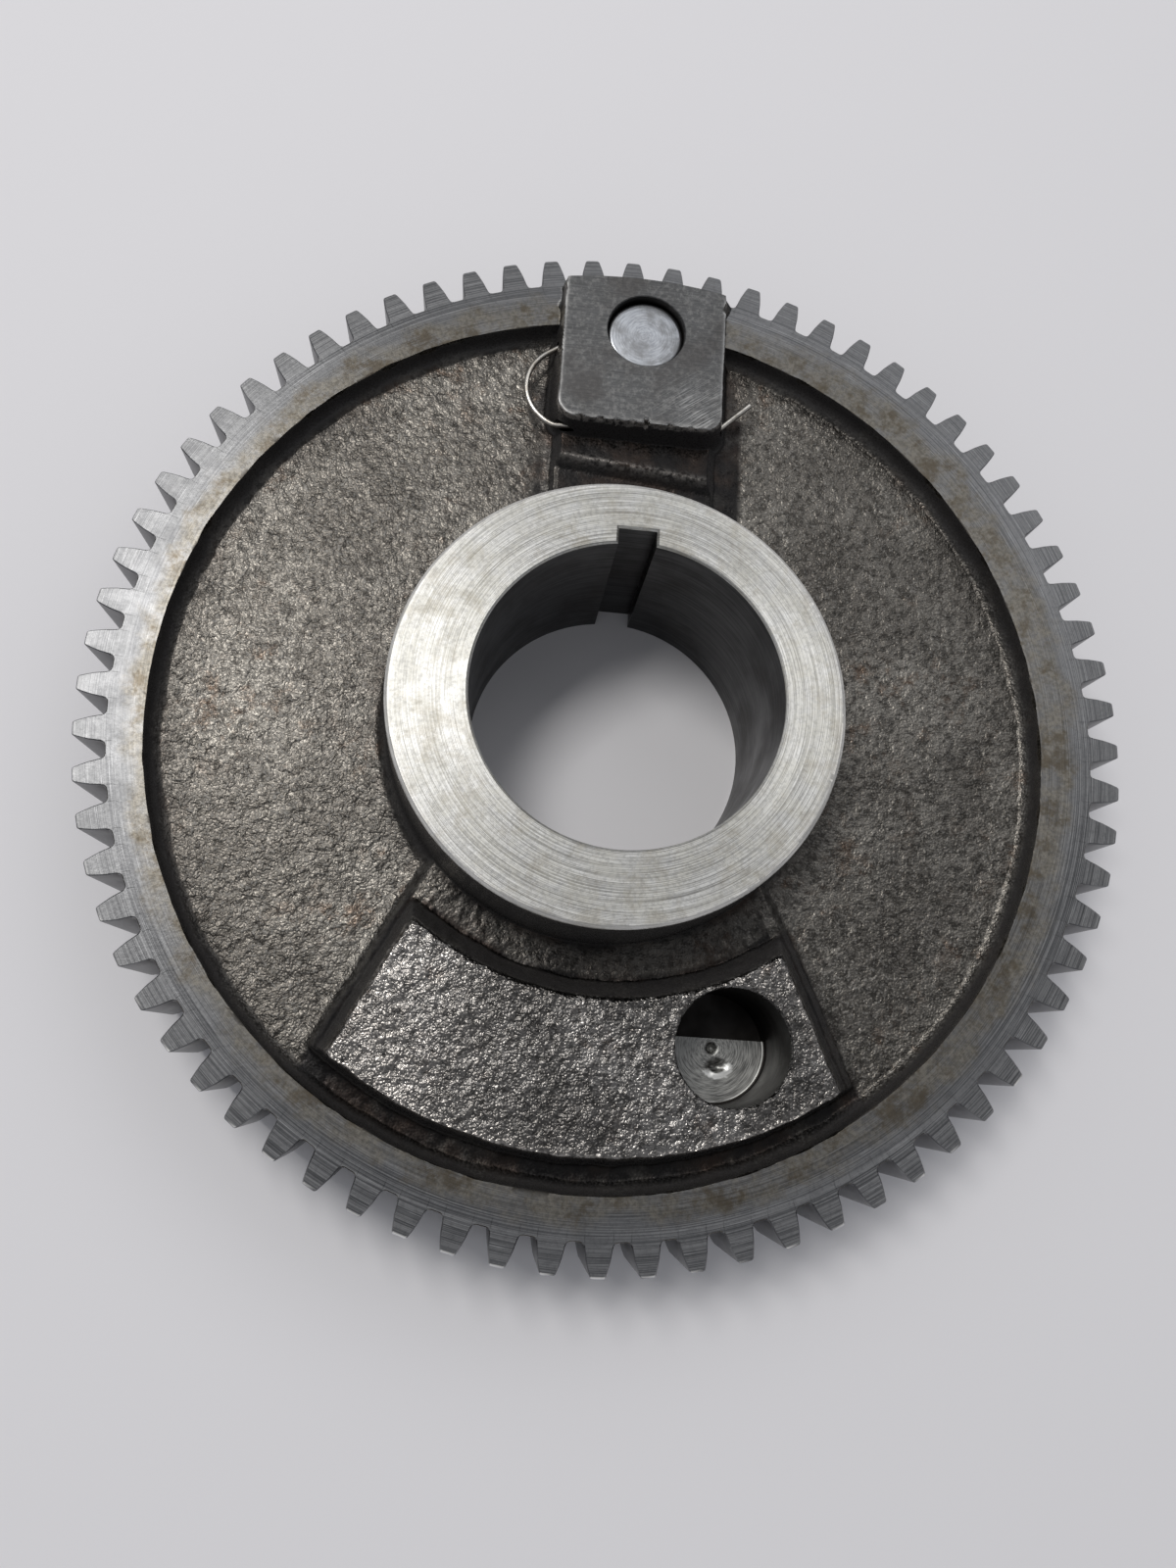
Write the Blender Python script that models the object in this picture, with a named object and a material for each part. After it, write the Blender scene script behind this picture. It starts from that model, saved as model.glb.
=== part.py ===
"""Spur gear of grey cast iron with a sliding lock pin held by a wire detent spring.

The gear axis is Z and the row origin is on it, at the back face of the hub, which is the face
that the gear lies on.  +Z points out of the front, the side with the longer hub.  +Y runs from
the axis through the lock-pin boss and the keyway, so the counterweight is on the -Y side.
Lengths below are millimetres and become metres through MM.
"""

import math

import bmesh
import bpy
from mathutils import Matrix, Vector

MM = 0.001

# Teeth: full-depth 14.5 degree involutes of 14 diametral pitch
TEETH = 72
PITCH_DIAMETER = TEETH / 14 * 25.4
MODULE = PITCH_DIAMETER / TEETH
PRESSURE_ANGLE = math.radians(14.5)
TIP_RADIUS = PITCH_DIAMETER / 2 + MODULE
ROOT_RADIUS = PITCH_DIAMETER / 2 - 1.157 * MODULE
TOOTH_PHASE = math.radians(6.3)  # where the first tooth's centre lies, measured from +X

# Heights along the axis, from the back face of the hub
RIM_BACK = 2.4
RIM_FRONT = 16.7  # face width 14.3, which is 9/16 inch
HUB_FRONT = 28.0
WEB_BACK = 5.6
WEB_FRONT = 13.4
LEDGE_TOP = 15.1  # the low ledge of the counterweight and the saddle beside the boss
PAD_TOP = 18.6
BOSS_TOP = 19.1
PAD_BACK = 2.9

# Bore and hub.  The cast shapes lie a little to one side of the machined ones.
BORE_RADIUS = 19.05  # 1 1/2 inch shaft
KEYWAY_WIDTH = 4.76  # 3/16 inch key
KEYWAY_REACH = 20.95  # from the axis to the keyway's floor
CAST_CENTRE = (-1.15, -0.65)
HUB_RADIUS = 27.6
HUB_DRAFT = 0.5  # how much wider the hub is at the web
RECESS_RADIUS = 57.5
FILLET = 2.4
HUB_CHAMFER = 0.4

# Counterweight: a sector whose top is framed by two arcs and two straight ends
PAD_OUTER = (-0.6, -0.1, 53.7)  # centre x, centre y, radius
PAD_INNER = (0.1, 3.2, 38.7)
PAD_END_INNER = ((-24.3, -29.6), (21.9, -29.3))
PAD_END_OUTER = ((-31.5, -43.5), (29.4, -45.1))
# How far the cast walls stand out past that top: outer wall, straight ends, inner wall
PAD_FOOT = (0.6, 1.7, 2.2)
LEDGE_TOP_SPREAD = (0.7, 2.0)
LEDGE_FOOT_SPREAD = (1.0, 3.4)
LEDGE_REACH = 13.0  # how far the ledge runs on past the pad towards the hub
BALANCE_HOLE = (16.1, -40.2)
BALANCE_HOLE_RADIUS = 7.1
BALANCE_HOLE_FLOOR = 5.2

# Lock-pin boss and the saddle between it and the hub
BOSS_CENTRE_X = 0.35
BOSS_HALF_WIDTH = 11.1
BOSS_INNER_Y = 40.95
BOSS_OUTER_RADIUS = 63.0
BOSS_SLOPE = 1.2
SADDLE_HALF_WIDTH = 10.2

# Lock pin
LOCK_AXIS = (0.6, 54.9)
LOCK_HOLE_RADIUS = 5.35
PIN_RADIUS = 5.29
PIN_BACK = 0.6
PIN_FRONT = 17.9  # 1.2 below the boss's face when it is drawn back
PIN_CHAMFER = 0.7
PIN_TRAVEL = 12.7
GROOVE_FLOOR_RADIUS = 4.45
GROOVE_HALF_WIDTH = 0.55

# Detent spring: one wire, bent into a loop on the left of the boss
WIRE_RADIUS = 0.375
WIRE_HEIGHT = 16.0
LOOP_CENTRE = (-9.0, 46.7)
LOOP_RADIUS = 6.17
LOOP_START, LOOP_END = 125.0, 246.0  # degrees round the loop
DETENT_LEG = 14.6  # straight leg that lies in the pin's groove
ANCHOR_HEADING = 5.0  # degrees
TAIL_CORNER = 11.68  # x where the anchored leg turns up
TAIL_HEADING = 45.0
TAIL_LENGTH = 6.0
WIRE_HOLE_RADIUS = 0.8


def involute(angle):
    return math.tan(angle) - angle


def tooth_half_angle(radius):
    """Half of a tooth's thickness at a radius, as an angle about the gear axis."""
    base = PITCH_DIAMETER / 2 * math.cos(PRESSURE_ANGLE)
    at_radius = math.acos(min(1.0, base / radius))
    return math.pi / 2 / TEETH + involute(PRESSURE_ANGLE) - involute(at_radius)


def polar(radius, angle, centre=(0.0, 0.0)):
    return (centre[0] + radius * math.cos(angle), centre[1] + radius * math.sin(angle))


def gear_outline():
    """The toothed outline, anticlockwise: root fillet, flank, tip, flank, root fillet."""
    base = PITCH_DIAMETER / 2 * math.cos(PRESSURE_ANGLE)
    fillet_top = ROOT_RADIUS + 0.55
    radii = [fillet_top, base + 0.35, PITCH_DIAMETER / 2, TIP_RADIUS - 0.12]
    outline = []
    for tooth in range(TEETH):
        middle = TOOTH_PHASE + 2 * math.pi * tooth / TEETH
        side = [(ROOT_RADIUS, tooth_half_angle(fillet_top) + math.radians(0.42))]
        side.append((ROOT_RADIUS + 0.16, tooth_half_angle(fillet_top) + math.radians(0.14)))
        side += [(radius, tooth_half_angle(radius)) for radius in radii]
        side.append((TIP_RADIUS, tooth_half_angle(TIP_RADIUS) - math.radians(0.1)))
        outline += [polar(radius, middle - half) for radius, half in side]
        outline += [polar(radius, middle + half) for radius, half in reversed(side)]
    return outline


def material(name, colour, roughness, metallic):
    made = bpy.data.materials.new(name)
    made.use_nodes = True
    shader = made.node_tree.nodes["Principled BSDF"]
    shader.inputs["Base Color"].default_value = (*colour, 1.0)
    shader.inputs["Roughness"].default_value = roughness
    shader.inputs["Metallic"].default_value = metallic
    made.diffuse_color = (*colour, 1.0)
    return made


def add_object(name, mesh_data, surface=None):
    """Puts a bmesh in the scene as an object.  Without a surface it is a hidden helper."""
    mesh = bpy.data.meshes.new(name)
    bmesh.ops.recalc_face_normals(mesh_data, faces=mesh_data.faces)
    mesh_data.to_mesh(mesh)
    mesh_data.free()
    made = bpy.data.objects.new(name, mesh)
    bpy.context.scene.collection.objects.link(made)
    if surface:
        mesh.materials.append(surface)
    else:
        made.hide_render = True
        made.display_type = "WIRE"
    return made


def loft(sections):
    """A closed solid through sections of equally many points, each a list of (x, y, z)."""
    mesh_data = bmesh.new()
    rings = [[mesh_data.verts.new(Vector(p) * MM) for p in section] for section in sections]
    count = len(rings[0])
    for low, high in zip(rings, rings[1:]):
        for i in range(count):
            j = (i + 1) % count
            mesh_data.faces.new((low[i], low[j], high[j], high[i]))
    mesh_data.faces.new(list(reversed(rings[0])))
    mesh_data.faces.new(rings[-1])
    return mesh_data


def prism(outline, low, high):
    return loft([[(x, y, z) for x, y in outline] for z in (low, high)])


def turned(profile, segments, centre=(0.0, 0.0)):
    """A solid of revolution about a vertical axis from a closed (radius, z) profile."""
    mesh_data = bmesh.new()
    points = [mesh_data.verts.new(Vector((radius, 0, z)) * MM) for radius, z in profile]
    edges = [mesh_data.edges.new((a, b)) for a, b in zip(points, points[1:] + points[:1])]
    bmesh.ops.spin(
        mesh_data,
        geom=points + edges,
        cent=(0, 0, 0),
        axis=(0, 0, 1),
        angle=2 * math.pi,
        steps=segments,
        use_merge=True,
    )
    bmesh.ops.remove_doubles(mesh_data, verts=mesh_data.verts, dist=1e-7)
    shift = Matrix.Translation(Vector((centre[0], centre[1], 0)) * MM)
    bmesh.ops.transform(mesh_data, matrix=shift, verts=mesh_data.verts)
    return mesh_data


def cylinder(radius, low, high, segments, centre=(0.0, 0.0)):
    ring = [polar(radius, 2 * math.pi * i / segments, centre) for i in range(segments)]
    return prism(ring, low, high)


def tube(path, radius, sides):
    """A round bar that follows a path of points in a horizontal plane."""
    sections = []
    for i, point in enumerate(path):
        before, after = Vector(path[max(i - 1, 0)]), Vector(path[min(i + 1, len(path) - 1)])
        along = (after - before).normalized()
        across = Vector((-along.y, along.x, 0))
        sections.append(
            [
                Vector(point)
                + across * radius * math.cos(2 * math.pi * k / sides)
                + Vector((0, 0, radius * math.sin(2 * math.pi * k / sides)))
                for k in range(sides)
            ]
        )
    return loft(sections)


def fillet_arc(centre, radius, start, end, steps=4):
    """Points on an arc in the (radius, z) plane, angles in degrees."""
    turn = (end - start) / steps
    return [polar(radius, math.radians(start + turn * i), centre) for i in range(steps + 1)]


def combine(target, tool, operation):
    """Applies one exact Boolean between two objects as a modifier that stays on the target."""
    modifier = target.modifiers.new(tool.name, "BOOLEAN")
    modifier.operation = operation
    modifier.solver = "EXACT"
    modifier.object = tool


def arc_points(circle, start, end, steps):
    """Points along a circle (x, y, radius) from one point to another, the short way round."""
    x, y, radius = circle
    first = math.atan2(start[1] - y, start[0] - x)
    turn = math.remainder(math.atan2(end[1] - y, end[0] - x) - first, 2 * math.pi)
    return [polar(radius, first + turn * i / steps, (x, y)) for i in range(steps + 1)]


def spread(outline, amount):
    """Moves each side of an anticlockwise outline outwards by an amount."""
    moved = []
    count = len(outline)
    for i in range(count):
        a, b, c = (Vector(outline[(i + k) % count]) for k in (-1, 0, 1))
        first, second = (b - a).normalized(), (c - b).normalized()
        out = Vector((first.y + second.y, -first.x - second.x))
        moved.append(tuple(b + out * amount / max(0.35, out.length_squared / 2)))
    return moved


def rounded(corners, radii, steps=5):
    """An anticlockwise outline with each corner replaced by an arc of its own radius."""
    outline = []
    count = len(corners)
    for i, radius in enumerate(radii):
        a, b, c = (Vector(corners[(i + k) % count]) for k in (-1, 0, 1))
        back, on = (a - b).normalized(), (c - b).normalized()
        half = math.acos(max(-1.0, min(1.0, back.dot(on)))) / 2
        if radius <= 0:
            outline.append(tuple(b))
            continue
        reach = radius / math.tan(half)
        centre = b + (back + on).normalized() * radius / math.sin(half)
        start, end = b + back * reach, b + on * reach
        outline += arc_points((centre.x, centre.y, radius), start, end, steps)
    return outline


def meet(point, along, circle):
    """Where a line leaves a circle (x, y, radius), going the way it points."""
    offset = Vector(point) - Vector(circle[:2])
    run = offset.dot(along)
    reach = math.sqrt(circle[2] ** 2 - offset.length_squared + run * run)
    return Vector(point) + along * (reach - run)


def sector(outer=0.0, ends=0.0, inner=0.0, reach=0.0):
    """The counterweight's outline, anticlockwise, with its walls moved out by the amounts.

    With a reach the outline runs on towards the hub by that much, without the inner arc.
    """
    outer_arc = (*PAD_OUTER[:2], PAD_OUTER[2] + outer)
    inner_arc = (*PAD_INNER[:2], PAD_INNER[2] - inner)
    far, near = [], []
    for side, a, b in zip((-1, 1), PAD_END_INNER, PAD_END_OUTER):
        along = (Vector(b) - Vector(a)).normalized()
        start = Vector(a) + Vector((-along.y, along.x)) * side * ends
        far.append(meet(start, along, outer_arc))
        near.append(start - along * reach if reach else meet(start, along, inner_arc))
    outline = arc_points(outer_arc, far[0], far[1], 26)
    return outline + (near[::-1] if reach else arc_points(inner_arc, near[1], near[0], 18))


def at_height(outline, z):
    return [(x, y, z) for x, y in outline]


def gear_blank():
    """The toothed disc with a trench turned into each side between hub and rim."""
    disc = add_object("gear", prism(gear_outline(), RIM_BACK, RIM_FRONT), CAST_IRON)
    inner = HUB_RADIUS - 4
    wall = RECESS_RADIUS - 0.35
    corner = fillet_arc((wall - FILLET, WEB_FRONT + FILLET), FILLET, -90, -12)
    front = [(inner, RIM_FRONT + 4), (inner, WEB_FRONT)] + corner
    front += [(RECESS_RADIUS, RIM_FRONT), (RECESS_RADIUS, RIM_FRONT + 4)]
    corner = fillet_arc((wall - FILLET, WEB_BACK - FILLET), FILLET, 90, 12)
    back = [(inner, RIM_BACK - 4), (inner, WEB_BACK)] + corner
    back += [(RECESS_RADIUS, RIM_BACK), (RECESS_RADIUS, RIM_BACK - 4)]
    for name, profile in (("front_trench", front), ("back_trench", back)):
        combine(disc, add_object(name, turned(profile, 128, CAST_CENTRE)), "DIFFERENCE")
    return disc


def hub():
    """The drafted hub with its fillets, a little off the bore's axis."""
    foot = HUB_RADIUS + HUB_DRAFT
    front = fillet_arc((foot + FILLET, WEB_FRONT + FILLET), FILLET, 180, 262)
    back = fillet_arc((foot + 1.5, WEB_BACK - 1.5), 1.5, 98, 180)
    profile = [(BORE_RADIUS - 3, 0), (HUB_RADIUS - HUB_CHAMFER, 0), (HUB_RADIUS, HUB_CHAMFER)]
    profile += list(reversed(back)) + [(foot + 2, (WEB_BACK + WEB_FRONT) / 2)]
    profile += list(reversed(front)) + [(HUB_RADIUS, HUB_FRONT - HUB_CHAMFER)]
    profile += [(HUB_RADIUS - HUB_CHAMFER, HUB_FRONT), (BORE_RADIUS - 3, HUB_FRONT)]
    return add_object("hub_solid", turned(profile, 96, CAST_CENTRE))


def counterweight():
    """Two stacked tapered sectors: the ledge that reaches the hub, and the pad on it."""
    foot = sector(*LEDGE_FOOT_SPREAD, reach=LEDGE_REACH)
    ledge = [
        at_height(foot, PAD_BACK),
        at_height(foot, WEB_FRONT - 0.3),
        at_height(sector(*LEDGE_TOP_SPREAD, reach=LEDGE_REACH), LEDGE_TOP),
    ]
    pad = [
        at_height(sector(*PAD_FOOT), (WEB_BACK + WEB_FRONT) / 2),
        at_height(sector(*PAD_FOOT), LEDGE_TOP - 0.2),
        at_height(sector(0.2, 0.2, 0.2), PAD_TOP - 0.4),
        at_height(sector(-0.3, -0.3, -0.3), PAD_TOP),
    ]
    return add_object("ledge_solid", loft(ledge)), add_object("pad_solid", loft(pad))


def boss():
    """The lock-pin boss, cut to a cylinder at its outer end, and the saddle to the hub."""
    middle, y = BOSS_CENTRE_X, BOSS_INNER_Y
    left, right = middle - BOSS_HALF_WIDTH, middle + BOSS_HALF_WIDTH
    corners = [(left, y), (right, y)]
    first, last = (math.acos(x / BOSS_OUTER_RADIUS) for x in (right, left))
    outer = [polar(BOSS_OUTER_RADIUS, first + (last - first) * i / 10) for i in range(11)]
    outline = rounded(corners + outer, [2.6, 2.2, 0.5] + [0] * 9 + [0.5])

    def grown(amount):
        """Spreads the three cast walls and leaves the turned outer end where it is."""
        moved = []
        for (px, py), (qx, qy) in zip(outline, spread(outline, amount)):
            keep = math.hypot(px, py) > BOSS_OUTER_RADIUS - 0.6
            moved.append((qx, py) if keep else (qx, qy))
        return moved

    block = [
        at_height(grown(BOSS_SLOPE), WEB_BACK + 1),
        at_height(grown(BOSS_SLOPE), WEB_FRONT + 0.6),
        at_height(grown(BOSS_SLOPE * 0.1), BOSS_TOP - 0.3),
        at_height(grown(-0.15), BOSS_TOP),
    ]
    left, right = middle - SADDLE_HALF_WIDTH, middle + SADDLE_HALF_WIDTH
    low = HUB_RADIUS - 5
    saddle_plan = [(left, low), (right, low), (right, y + 3), (left, y + 3)]
    saddle = [
        at_height(spread(saddle_plan, BOSS_SLOPE), WEB_BACK + 1.4),
        at_height(spread(saddle_plan, BOSS_SLOPE), WEB_FRONT - 0.2),
        at_height(saddle_plan, LEDGE_TOP),
    ]
    return add_object("boss_solid", loft(block)), add_object("saddle_solid", loft(saddle))


def wire_path():
    """Centre line of the detent spring, from the end in the groove to the free tail."""
    start = Vector(polar(LOOP_RADIUS, math.radians(LOOP_START), LOOP_CENTRE))
    heading = math.radians(LOOP_START - 90)
    detent = start + Vector((math.cos(heading), math.sin(heading))) * DETENT_LEG
    points = [detent.lerp(start, i / 3) for i in range(3)]
    steps = 20
    for i in range(steps + 1):
        angle = math.radians(LOOP_START + (LOOP_END - LOOP_START) * i / steps)
        points.append(Vector(polar(LOOP_RADIUS, angle, LOOP_CENTRE)))
    bend, first, last = 2.0, math.radians(LOOP_END + 90 - 360), math.radians(ANCHOR_HEADING)
    left = Vector((-math.sin(first), math.cos(first)))
    centre = points[-1] + left * bend
    for i in range(1, 5):
        angle = first + (last - first) * i / 4
        points.append(centre + Vector((math.sin(angle), -math.cos(angle))) * bend)
    anchor = points[-1]
    rise = math.tan(last)
    corner = Vector((TAIL_CORNER, anchor.y + (TAIL_CORNER - anchor.x) * rise))
    turn = math.radians(TAIL_HEADING)
    inward, outward = Vector((math.cos(last), math.sin(last))), Vector(
        (math.cos(turn), math.sin(turn))
    )
    for i in range(5):
        blend = i / 4
        a = corner - inward * 0.5 * (1 - blend)
        points.append(a.lerp(corner + outward * 0.5 * blend, blend))
    points.append(corner + outward * TAIL_LENGTH)
    return [(p.x, p.y, WIRE_HEIGHT) for p in points], anchor, corner, start, detent


def cuts(wire):
    """Everything that is machined out of the casting, as cutters that pass its faces."""
    bore = cylinder(BORE_RADIUS, -2, HUB_FRONT + 2, 96)
    half = KEYWAY_WIDTH / 2
    key = [(-half, 10), (half, 10), (half, KEYWAY_REACH), (-half, KEYWAY_REACH)]
    lock = cylinder(LOCK_HOLE_RADIUS, RIM_BACK - 2, BOSS_TOP + 2, 48, LOCK_AXIS)
    hole = cylinder(BALANCE_HOLE_RADIUS, BALANCE_HOLE_FLOOR, PAD_TOP + 2, 48, BALANCE_HOLE)
    _, anchor, corner, start, detent = wire
    along = (detent - start).normalized()
    anchored = [anchor - (corner - anchor).normalized() * 4, corner.lerp(anchor, -0.12)]
    sprung = [start - along * 1.2, detent + along * 0.6]
    yield add_object("bore_cutter", bore)
    yield add_object("keyway_cutter", prism(key, -2, HUB_FRONT + 2))
    yield add_object("lock_hole_cutter", lock)
    yield add_object("balance_hole_cutter", hole)
    for name, ends in (("anchor_hole_cutter", anchored), ("detent_hole_cutter", sprung)):
        path = [(p.x, p.y, WIRE_HEIGHT) for p in ends]
        yield add_object(name, tube(path, WIRE_HOLE_RADIUS, 16))


def lock_pin():
    """The pin about its own axis: chamfered ends and two detent grooves a stroke apart."""
    radius, chamfer = PIN_RADIUS, PIN_CHAMFER
    profile = [(0, PIN_BACK), (radius - chamfer, PIN_BACK), (radius, PIN_BACK + chamfer)]
    for z in (WIRE_HEIGHT - PIN_TRAVEL, WIRE_HEIGHT):
        profile += [
            (radius, z - GROOVE_HALF_WIDTH - 0.3),
            (GROOVE_FLOOR_RADIUS, z - GROOVE_HALF_WIDTH),
            (GROOVE_FLOOR_RADIUS, z + GROOVE_HALF_WIDTH),
            (radius, z + GROOVE_HALF_WIDTH + 0.3),
        ]
    profile += [(radius, PIN_FRONT - chamfer), (radius - chamfer, PIN_FRONT), (0, PIN_FRONT)]
    made = add_object("lock_pin", turned(profile, 48), STEEL_PIN)
    made.location = (LOCK_AXIS[0] * MM, LOCK_AXIS[1] * MM, 0)
    return made


for old in list(bpy.data.objects):
    bpy.data.objects.remove(old, do_unlink=True)

CAST_IRON = material("cast_iron", (0.115, 0.105, 0.098), 0.55, 0.8)
STEEL_PIN = material("pin_steel", (0.42, 0.44, 0.48), 0.4, 0.9)
SPRING_STEEL = material("spring_steel", (0.55, 0.53, 0.5), 0.28, 1.0)

WIRE = wire_path()
gear = gear_blank()
for part in (hub(), *counterweight(), *boss()):
    combine(gear, part, "UNION")
for cutter in cuts(WIRE):
    combine(gear, cutter, "DIFFERENCE")
pin = lock_pin()
spring = add_object("detent_spring", tube(WIRE[0], WIRE_RADIUS, 10), SPRING_STEEL)

axis = bpy.data.objects.new("gear_axis", None)
bpy.context.scene.collection.objects.link(axis)
for piece in (gear, pin, spring):
    piece.parent = axis
    piece.data.shade_smooth()
    piece.data.set_sharp_from_angle(angle=math.radians(30))
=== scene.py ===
"""Looks of a cast-iron spur gear with a lock pin and its wire spring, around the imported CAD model.

The gear is modelled as it is made: a rough casting whose surface is a height over the plan, trimmed
by the planes and cylinders that were turned, bored, drilled and hobbed into it.
Lengths are millimetres in the row frame and become metres through MM.
"""

import math

import bpy
import numpy as np
from mathutils import Matrix, Vector


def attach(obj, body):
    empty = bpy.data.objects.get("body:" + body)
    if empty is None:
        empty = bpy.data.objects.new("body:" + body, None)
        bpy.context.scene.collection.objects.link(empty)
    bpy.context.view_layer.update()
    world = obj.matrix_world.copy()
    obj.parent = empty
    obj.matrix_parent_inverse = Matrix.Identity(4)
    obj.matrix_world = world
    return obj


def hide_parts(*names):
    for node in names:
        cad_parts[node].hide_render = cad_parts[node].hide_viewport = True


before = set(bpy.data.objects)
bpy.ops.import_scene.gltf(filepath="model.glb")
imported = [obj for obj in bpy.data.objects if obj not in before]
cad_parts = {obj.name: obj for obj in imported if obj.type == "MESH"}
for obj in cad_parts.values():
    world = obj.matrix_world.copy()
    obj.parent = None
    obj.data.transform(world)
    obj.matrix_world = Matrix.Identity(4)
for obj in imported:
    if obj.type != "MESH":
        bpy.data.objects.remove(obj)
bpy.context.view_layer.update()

MM = 0.001

# Teeth
TEETH = 72
PITCH_RADIUS = TEETH / 14 * 25.4 / 2
MODULE = 2 * PITCH_RADIUS / TEETH
PRESSURE_ANGLE = math.radians(14.5)
TIP_RADIUS = PITCH_RADIUS + MODULE
ROOT_RADIUS = PITCH_RADIUS - 1.157 * MODULE
TOOTH_PHASE = math.radians(6.3)
TOOTH_CHAMFER = 0.13

# Heights along the axis
RIM_BACK, RIM_FRONT = 2.4, 16.7
HUB_FRONT = 28.0
WEB_BACK, WEB_FRONT = 5.6, 13.4
LEDGE_TOP = 15.1
PAD_TOP = 18.6
BOSS_TOP = 19.1
PAD_BACK = 2.9

# Hub, bore and rim
BORE_RADIUS = 19.05
KEYWAY_WIDTH = 4.76
KEYWAY_REACH = 20.95
CAST_CENTRE = (-1.15, -0.65)
HUB_RADIUS = 27.6
HUB_DRAFT = 0.5
HUB_CHAMFER = 0.4
RECESS_RADIUS = 57.5
STAIN_EDGE = 60.8  # the rim is stained inside this radius
FILLET = 2.4

# Counterweight: its arcs as centre and radius, its ends as lines from the hub outwards
PAD_OUTER = (-0.6, -0.1, 53.7)
PAD_INNER = (0.1, 3.2, 38.7)
PAD_ENDS = (((-24.3, -29.6), (-31.5, -43.5)), ((21.9, -29.3), (29.4, -45.1)))
BALANCE_HOLE = (16.1, -40.2)
BALANCE_HOLE_RADIUS = 7.1
BALANCE_HOLE_FLOOR = 5.2
POCKET_EDGE = 1.25
POCKET_FLOOR = 3.4
GOUGE_REACH = (1.75, 1.25)
GOUGE_LEAN = 0.35

# Lock-pin boss and the saddle between it and the hub
BOSS_CENTRE_X = 0.35
BOSS_HALF_WIDTH = 11.1
BOSS_INNER_Y = 40.95
BOSS_OUTER_RADIUS = 63.0
BOSS_SLOPE = 1.2
SADDLE_HALF_WIDTH = 10.2
# Chips along the boss's lower edge: place along x, half width, depth inwards
CHIPS = ((1.3, 0.42, 0.75), (-4.9, 0.7, 0.28), (-2.6, 0.5, 0.22), (-0.4, 0.6, 0.2))
CHIPS += ((-7.6, 0.9, 0.25), (4.6, 0.8, 0.22), (7.4, 0.6, 0.2), (9.0, 1.0, 0.18))

# Lock pin
LOCK_AXIS = (0.6, 54.9)
LOCK_HOLE_RADIUS = 5.35
PIN_RADIUS = 5.29
PIN_BACK, PIN_FRONT = 0.6, 17.9
PIN_TRAVEL = 12.7
GROOVE_FLOOR_RADIUS = 4.45
GROOVE_HALF_WIDTH = 0.55

# Detent spring
WIRE_RADIUS = 0.375
WIRE_HEIGHT = 16.0
LOOP_CENTRE = (-9.0, 46.7)
LOOP_RADIUS = 6.17
LOOP_START, LOOP_END = 125.0, 246.0
DETENT_LEG = 14.6
ANCHOR_HEADING = 5.0
TAIL_CORNER = 11.68
TAIL_HEADING = 45.0
TAIL_LENGTH = 6.0
WIRE_HOLE_RADIUS = 0.8

# Colours: dark, light and, on turned faces, stain
WEB_COLOURS = ((0.1, 0.092, 0.082), (0.176, 0.165, 0.148))
PAD_COLOURS = ((0.105, 0.099, 0.093), (0.24, 0.23, 0.22))
RIM_COLOURS = ((0.1, 0.101, 0.105), (0.235, 0.236, 0.24), (0.175, 0.161, 0.136))
HUB_COLOURS = ((0.27, 0.268, 0.264), (0.765, 0.765, 0.755), (0.44, 0.418, 0.33))
# Bore and drilled holes: dark tones that paint the shade inside them.
BORE_SHADE_COLOURS = ((0.026, 0.026, 0.026), (0.072, 0.072, 0.072))
DRILLED_SHADE_COLOURS = ((0.012, 0.011, 0.01), (0.045, 0.042, 0.04))
# Oily dark that also serves as painted shade in hollows and beside walls.
OIL_AND_SHADE = (0.03, 0.026, 0.022)
FLOOR_WHITE = (0.8, 0.79, 0.81)

# Camera, as fitted to the photo's proportions
LENS, SENSOR = 26.66, 36
CAMERA_PLACE = (-15.181, -43.095, 158.505)
CAMERA_RIGHT = (0.993166, 0.062485, 0.098582)
CAMERA_FORWARD = (0.081504, 0.233296, -0.968984)

# Mesh of the casting
INNER_RADIUS = 17.5  # the blank's own hole, inside the bore
LAND_RADIUS = 63.12  # where the height field ends and the tooth lands begin
FRONT_ROWS, BACK_ROWS = 215, 90


# ---- the casting's shape


def value_noise(x, y, z, scale, seed):
    """Smooth noise from -1 to 1 with features of about scale millimetres."""
    total = 0.0
    cells, blends = [], []
    for axis, value in enumerate((x, y, z)):
        place = np.asarray(value, float) / scale + seed * (7.31 + axis)
        cell = np.floor(place)
        part = place - cell
        cells.append(cell.astype(np.int64))
        blends.append(part * part * (3 - 2 * part))
    for corner in range(8):
        steps = [corner >> axis & 1 for axis in range(3)]
        keys = [cell + step for cell, step in zip(cells, steps)]
        mixed = keys[0] * 73856093 ^ keys[1] * 19349663 ^ keys[2] * 83492791
        mixed = (mixed ^ (mixed >> 13)) * 1274126177 & 0x7FFFFFFF
        share = 1.0
        for step, blend in zip(steps, blends):
            share = share * (blend if step else 1 - blend)
        total = total + share * ((mixed >> 7 & 0xFFFF) / 32767.5 - 1)
    return total


def soft_min(a, b, reach):
    overlap = np.maximum(reach - np.abs(a - b), 0) / reach
    return np.minimum(a, b) - overlap**2 * reach / 4


def soft_max(a, b, reach):
    return -soft_min(-a, -b, reach)


def smooth_step(low, high, value):
    share = np.clip((value - low) / (high - low), 0, 1)
    return share * share * (3 - 2 * share)


def wall(out, drop, run, fillet):
    """Height above the floor at a distance out from a wall's top edge: slope, then fillet.

    It goes on rising inside the edge and falls away beyond the fillet, so that it can be cut
    off by a top and joined to other shapes.
    """
    slope = math.atan2(drop, run)
    tangent = fillet * math.tan(slope / 2)
    reach = np.clip(run + tangent - out, 0, fillet * math.sin(slope))
    on_fillet = fillet - np.sqrt(fillet**2 - reach**2)
    on_wall = drop * (1 - out / run)
    height = np.where(out < run - tangent * math.cos(slope), on_wall, on_fillet)
    return height - 0.5 * np.maximum(out - run - tangent, 0)


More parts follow.
